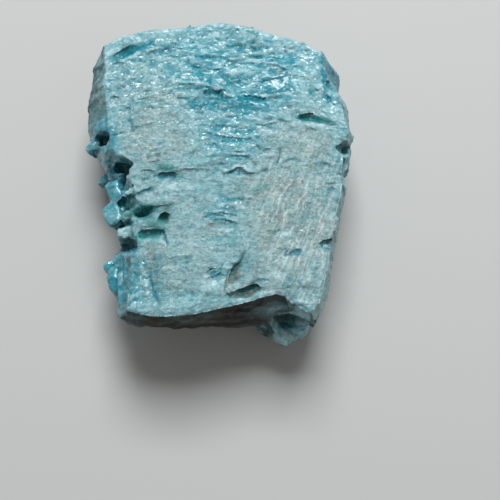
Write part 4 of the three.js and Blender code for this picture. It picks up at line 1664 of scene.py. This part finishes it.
    def deepened(
        self, board: Board, colour: bpy.types.NodeSocket, lot: bpy.types.NodeSocket
    ) -> bpy.types.NodeSocket:
        """Lay the deep patches over a colour, facet by facet.

        Args:
            board: the material's nodes.
            colour: the colour under them.
            lot: a number from 0 to 1 for each facet.

        Returns:
            The colour's socket.
        """
        vein = board.noise(board.stretched((0.9, 0.4, 0.9), sway=0.2), 4.0, 0.65)
        depth = board.math("MULTIPLY", board.layer("deep"), board.between(lot, 0.25, 0.9, 1.0, 0.4))
        veined = board.between(vein, 0.32, 0.58, 0.5, 1.4)
        return board.mix(board.math("MULTIPLY", depth, veined, clamp=True), colour, self.deep)

    def powdered(
        self, board: Board, colour: bpy.types.NodeSocket, powder: bpy.types.NodeSocket
    ) -> bpy.types.NodeSocket:
        """Whiten the pale patches; whiten the broken edges, partly as powder, partly as painted highlight;
        and deepen the crevices as painted shade.

        Args:
            board: the material's nodes.
            colour: the colour under them.
            powder: noise that breaks the white up.

        Returns:
            The colour's socket.
        """
        pale = board.math("MULTIPLY", board.layer("pale"), board.between(powder, 0.35, 0.62, 0.15, 1.0))
        colour = board.mix(pale, colour, self.pale)
        relief = board.layer("relief")
        # Partly powder, partly painted highlight: raised edges whiten.
        edge = board.between(relief, 0.15, 0.9, 0.0, 0.55)
        edge = board.math("MULTIPLY", edge, board.between(powder, 0.3, 0.6, 0.3, 1.0))
        edge = board.math("MULTIPLY", edge, board.between(board.layer("hollow"), 0.2, 0.8, 1.0, 0.4))
        fresh = board.math("MAXIMUM", board.layer("deep"), board.layer("clear"))
        edge = board.math("MULTIPLY", edge, board.between(fresh, 0.0, 1.0, 1.0, 0.25))
        colour = board.mix(edge, colour, self.pale)
        # Painted shade: crevices deepen to turquoise.
        return board.mix(board.between(relief, -0.9, -0.1, 0.75, 0.0), colour, self.deep)

    def greyed(self, board: Board, colour: bpy.types.NodeSocket) -> bpy.types.NodeSocket:
        """Lay the dull speckled planes over a colour.

        Args:
            board: the material's nodes.
            colour: the colour under them.

        Returns:
            The colour's socket.
        """
        speckle = board.noise(board.stretched((0.30, 0.16, 0.25)), 3.0, 0.75)
        grey = board.mix(board.between(speckle, 0.40, 0.60, 0.0, 1.0), self.grey_dark, self.grey)
        cloud = board.noise(board.stretched((2.2, 0.9, 1.5), sway=0.3), 3.0, 0.6)
        share = board.math("MULTIPLY", board.layer("grey"), board.between(cloud, 0.3, 0.6, 0.55, 1.0))
        return board.mix(share, colour, grey)

    def specked(self, board: Board, colour: bpy.types.NodeSocket) -> bpy.types.NodeSocket:
        """Scatter the finest pale and dark specks over a colour.

        Args:
            board: the material's nodes.
            colour: the colour under them.

        Returns:
            The colour's socket.
        """
        speck = board.noise(board.stretched((0.7, 0.18, 0.5), sway=0.2), 4.0, 0.75)
        dull = board.math("ADD", board.layer("matte"), 0.35, clamp=True)
        light = board.math("MULTIPLY", board.between(speck, 0.54, 0.68, 0.0, 0.4), dull)
        colour = board.mix(light, colour, self.pale)
        dark = board.math("MULTIPLY", board.between(speck, 0.32, 0.46, 0.35, 0.0), dull)
        return board.mix(dark, colour, self.grey_dark)

    def fibred(self, board: Board, colour: bpy.types.NodeSocket) -> bpy.types.NodeSocket:
        """Draw the slanting fibres over a colour.

        Args:
            board: the material's nodes.
            colour: the colour under them.

        Returns:
            The colour's socket.
        """
        fibrous = board.layer("fibrous")
        fibre = board.noise(board.stretched((0.26, 2.2, 1.2), 23.0, 0.35), 4.0, 0.7)
        dark = board.math("MULTIPLY", fibrous, board.between(fibre, 0.34, 0.49, 0.75, 0.0))
        colour = board.mix(dark, colour, self.fibre_dark)
        light = board.math("MULTIPLY", fibrous, board.between(fibre, 0.51, 0.64, 0.0, 0.8))
        return board.mix(light, colour, self.fibre_light)

    def shade_flanks(
        self, board: Board, colour: bpy.types.NodeSocket, mottle: bpy.types.NodeSocket
    ) -> bpy.types.NodeSocket:
        """Paint shade on the steep sides in dull grey-green, and on the south face in a brown that is
        partly real crust, partly painted shade.

        Args:
            board: the material's nodes.
            colour: the colour under them.
            mottle: noise that breaks the crust and its painted shade up.

        Returns:
            The colour's socket.
        """
        # Painted shade, partly real dull colour, on the steep sides.
        share = board.math("MULTIPLY", board.layer("flank_dull_and_shade"), board.between(mottle, 0.35, 0.65, 1.0, 0.6))
        colour = board.mix(share, colour, self.flank_dull_and_shade)
        # Painted shade and real crust on the south face.
        crust_and_shade = board.math("MULTIPLY", board.layer("south"), board.between(mottle, 0.35, 0.65, 1.0, 0.85))
        return board.mix(crust_and_shade, colour, self.south)

    def gloss(
        self, board: Board, lot: bpy.types.NodeSocket, chip_lot: bpy.types.NodeSocket
    ) -> bpy.types.NodeSocket:
        """Make fresh breaks glossy and powdered planes matte.

        Args:
            board: the material's nodes.
            lot: a number from 0 to 1 for each facet.
            chip_lot: the same for each small chip.

        Returns:
            The roughness's socket.
        """
        fresh = board.between(board.layer("glassy"), 0.0, 0.8, 0.5, 1.0)
        mirror = board.math("MULTIPLY", board.between(lot, 0.4, 0.72, 0.1, 1.0), fresh)
        mirror = board.math("MAXIMUM", mirror, board.between(chip_lot, 0.78, 0.84, 0.0, 0.9))
        mirror = board.math("MAXIMUM", mirror, board.between(board.layer("clear"), 0.0, 1.0, 0.0, 0.85))
        gloss = board.between(mirror, 0.0, 1.0, *self.roughness)
        crust_and_shade = board.math("MAXIMUM", board.layer("flank_dull_and_shade"), board.layer("south"))
        share = board.between(crust_and_shade, 0.1, 0.6, 0.0, 1.0)
        dull = board.math("MULTIPLY", board.math("SUBTRACT", 1.0, gloss), share)
        return board.math("ADD", gloss, dull, clamp=True)

    def fine_relief(
        self, board: Board, tilt: bpy.types.NodeSocket, chip: bpy.types.NodeSocket
    ) -> bpy.types.NodeSocket:
        """Add the facets, lines and grit that are too fine for the mesh.

        Args:
            board: the material's nodes.
            tilt: height of the tilted facets.
            chip: height of the small chips.

        Returns:
            The normal's socket.
        """
        grit = board.noise(board.stretched((0.14, 0.09, 0.12)), 3.0, 0.65)
        fresh = board.between(board.layer("glassy"), 0.0, 0.8, 0.5, 1.0)
        rough = board.between(board.layer("clear"), 0.0, 1.0, 1.0, 0.4)
        height = board.math("MULTIPLY", board.math("MULTIPLY", tilt, fresh), self.facet_height * MM_M)
        height = board.math("ADD", height, board.math("MULTIPLY", chip, self.chip_height * MM_M))
        height = board.math("MULTIPLY", height, rough)
        smooth = board.math("ADD", board.layer("glassy"), board.layer("clear"), clamp=True)
        gritty = board.between(smooth, 0.0, 0.8, *(height_mm * MM_M for height_mm in self.grit_height))
        height = board.math("ADD", height, board.math("MULTIPLY", grit, gritty))
        bump = board.node("ShaderNodeBump")
        bump.inputs["Strength"].default_value = 1.0
        bump.inputs["Distance"].default_value = 1.0
        board.feed(bump.inputs["Height"], height)
        return bump.outputs[0]


@dataclass(frozen=True)
class FloorFinish:
    """Plain pale floor.

    Attributes:
        colour: the floor's colour.
        roughness: how matte it is.
    """

    colour: tuple[float, float, float] = (0.54, 0.54, 0.53)
    roughness: float = 0.85

    def material(self) -> bpy.types.Material:
        """Make the material.

        Returns:
            The finished material.
        """
        board = Board("floor")
        shader = board.node("ShaderNodeBsdfPrincipled")
        out = board.node("ShaderNodeOutputMaterial")
        board.links.new(shader.outputs[0], out.inputs[0])
        board.feed(shader.inputs["Base Color"], self.colour)
        shader.inputs["Roughness"].default_value = self.roughness
        return board.material


@dataclass
class Studio:
    """Floor, lights and camera round the stone.

    Attributes:
        floor_size_m: side of the floor.
        aim: where the camera looks.
        elevation: degrees that the camera stands above the horizon.
        distance_m: from the camera to where it looks.
        lens: focal length in millimetres.
        sensor: width of the sensor behind it.
        clip_from_m: nearest that the camera sees.
        key_from: direction that the main light comes from.
        light_distance_m: from each light to the stone.
        key_size_m: side of the main light.
        key_power: its power in watts.
        fill_from: direction of the weak second light.
        fill_power: its power in watts.
        fill_size_m: side of the second light.
        light_colour: colour of both lights.
        sky: brightness of the light from all round.
        sky_colour: its colour.
    """

    floor_size_m: float = 0.8
    aim: tuple[float, float, float] = (2.94, -5.06, 0.0)
    elevation: float = 78.0
    distance_m: float = 0.110
    lens: float = 80.0
    sensor: float = 36.0
    clip_from_m: float = 0.005
    key_from: tuple[float, float, float] = (0.04, 0.50, 0.865)
    light_distance_m: float = 0.30
    key_size_m: float = 0.13
    key_power: float = 0.94
    fill_from: tuple[float, float, float] = (0.5, -0.6, 0.7)
    fill_power: float = 0.04
    fill_size_m: float = 0.25
    light_colour: tuple[float, float, float] = (0.95, 0.985, 1.0)
    sky: float = 0.22
    sky_colour: tuple[float, float, float] = (1.0, 0.99, 0.97)

    def build(self) -> None:
        """Make the floor, the lights and the camera."""
        self.floor()
        self.light("key", self.key_from, self.key_size_m, self.key_power)
        self.light("fill", self.fill_from, self.fill_size_m, self.fill_power)
        self.surroundings()
        self.camera()

    def floor(self) -> None:
        """Lay the floor at the level that the stone lies on."""
        half = self.floor_size_m / 2.0
        mesh = bpy.data.meshes.new("floor")
        corners = [(-half, -half, 0.0), (half, -half, 0.0), (half, half, 0.0), (-half, half, 0.0)]
        mesh.from_pydata(corners, [], [(0, 1, 2, 3)])
        mesh.materials.append(FloorFinish().material())
        floor = bpy.data.objects.new("floor", mesh)
        bpy.context.scene.collection.objects.link(floor)

    def light(self, name: str, source: tuple[float, float, float], size: float, power: float) -> None:
        """Add a square light that faces the stone.

        Args:
            name: the light's name.
            source: direction that the light comes from.
            size: its side, in metres.
            power: its power in watts.
        """
        lamp = bpy.data.lights.new(name, "AREA")
        lamp.size = size
        lamp.energy = power
        lamp.color = self.light_colour
        holder = bpy.data.objects.new(name, lamp)
        away = Vector(source).normalized()
        holder.location = away * self.light_distance_m
        holder.rotation_euler = away.to_track_quat("Z", "Y").to_euler()
        bpy.context.scene.collection.objects.link(holder)

    def surroundings(self) -> None:
        """Light the stone faintly and evenly from all round."""
        world = bpy.data.worlds.new("studio")
        world.use_nodes = True
        back = world.node_tree.nodes["Background"]
        back.inputs["Color"].default_value = (*self.sky_colour, 1.0)
        back.inputs["Strength"].default_value = self.sky
        bpy.context.scene.world = world

    def camera(self) -> None:
        """Stand the camera almost overhead, a little to the south."""
        lens = bpy.data.cameras.new("camera")
        lens.lens = self.lens
        lens.sensor_width = self.sensor
        lens.clip_start = self.clip_from_m
        holder = bpy.data.objects.new("camera", lens)
        angle = math.radians(self.elevation)
        back = Vector((0.0, -math.cos(angle), math.sin(angle)))
        holder.location = Vector(self.aim) * MM_M + back * self.distance_m
        holder.rotation_euler = back.to_track_quat("Z", "Y").to_euler()
        scene = bpy.context.scene
        scene.collection.objects.link(holder)
        scene.camera = holder
        scene.view_settings.view_transform = "Standard"


def main() -> None:
    """Build the stone and the studio."""
    logging.basicConfig(level=logging.INFO, format="%(message)s")
    stone = StoneSurface().build()
    stone.data.materials.append(ApatiteFinish().material())
    triangles = sum(len(face.vertices) - 2 for face in stone.data.polygons)
    log.info("%s: %d triangles", stone.name, triangles)
    Studio().build()
    log.info("studio: floor, %d lights and camera", len(bpy.data.lights))


if __name__ == "__main__":
    main()
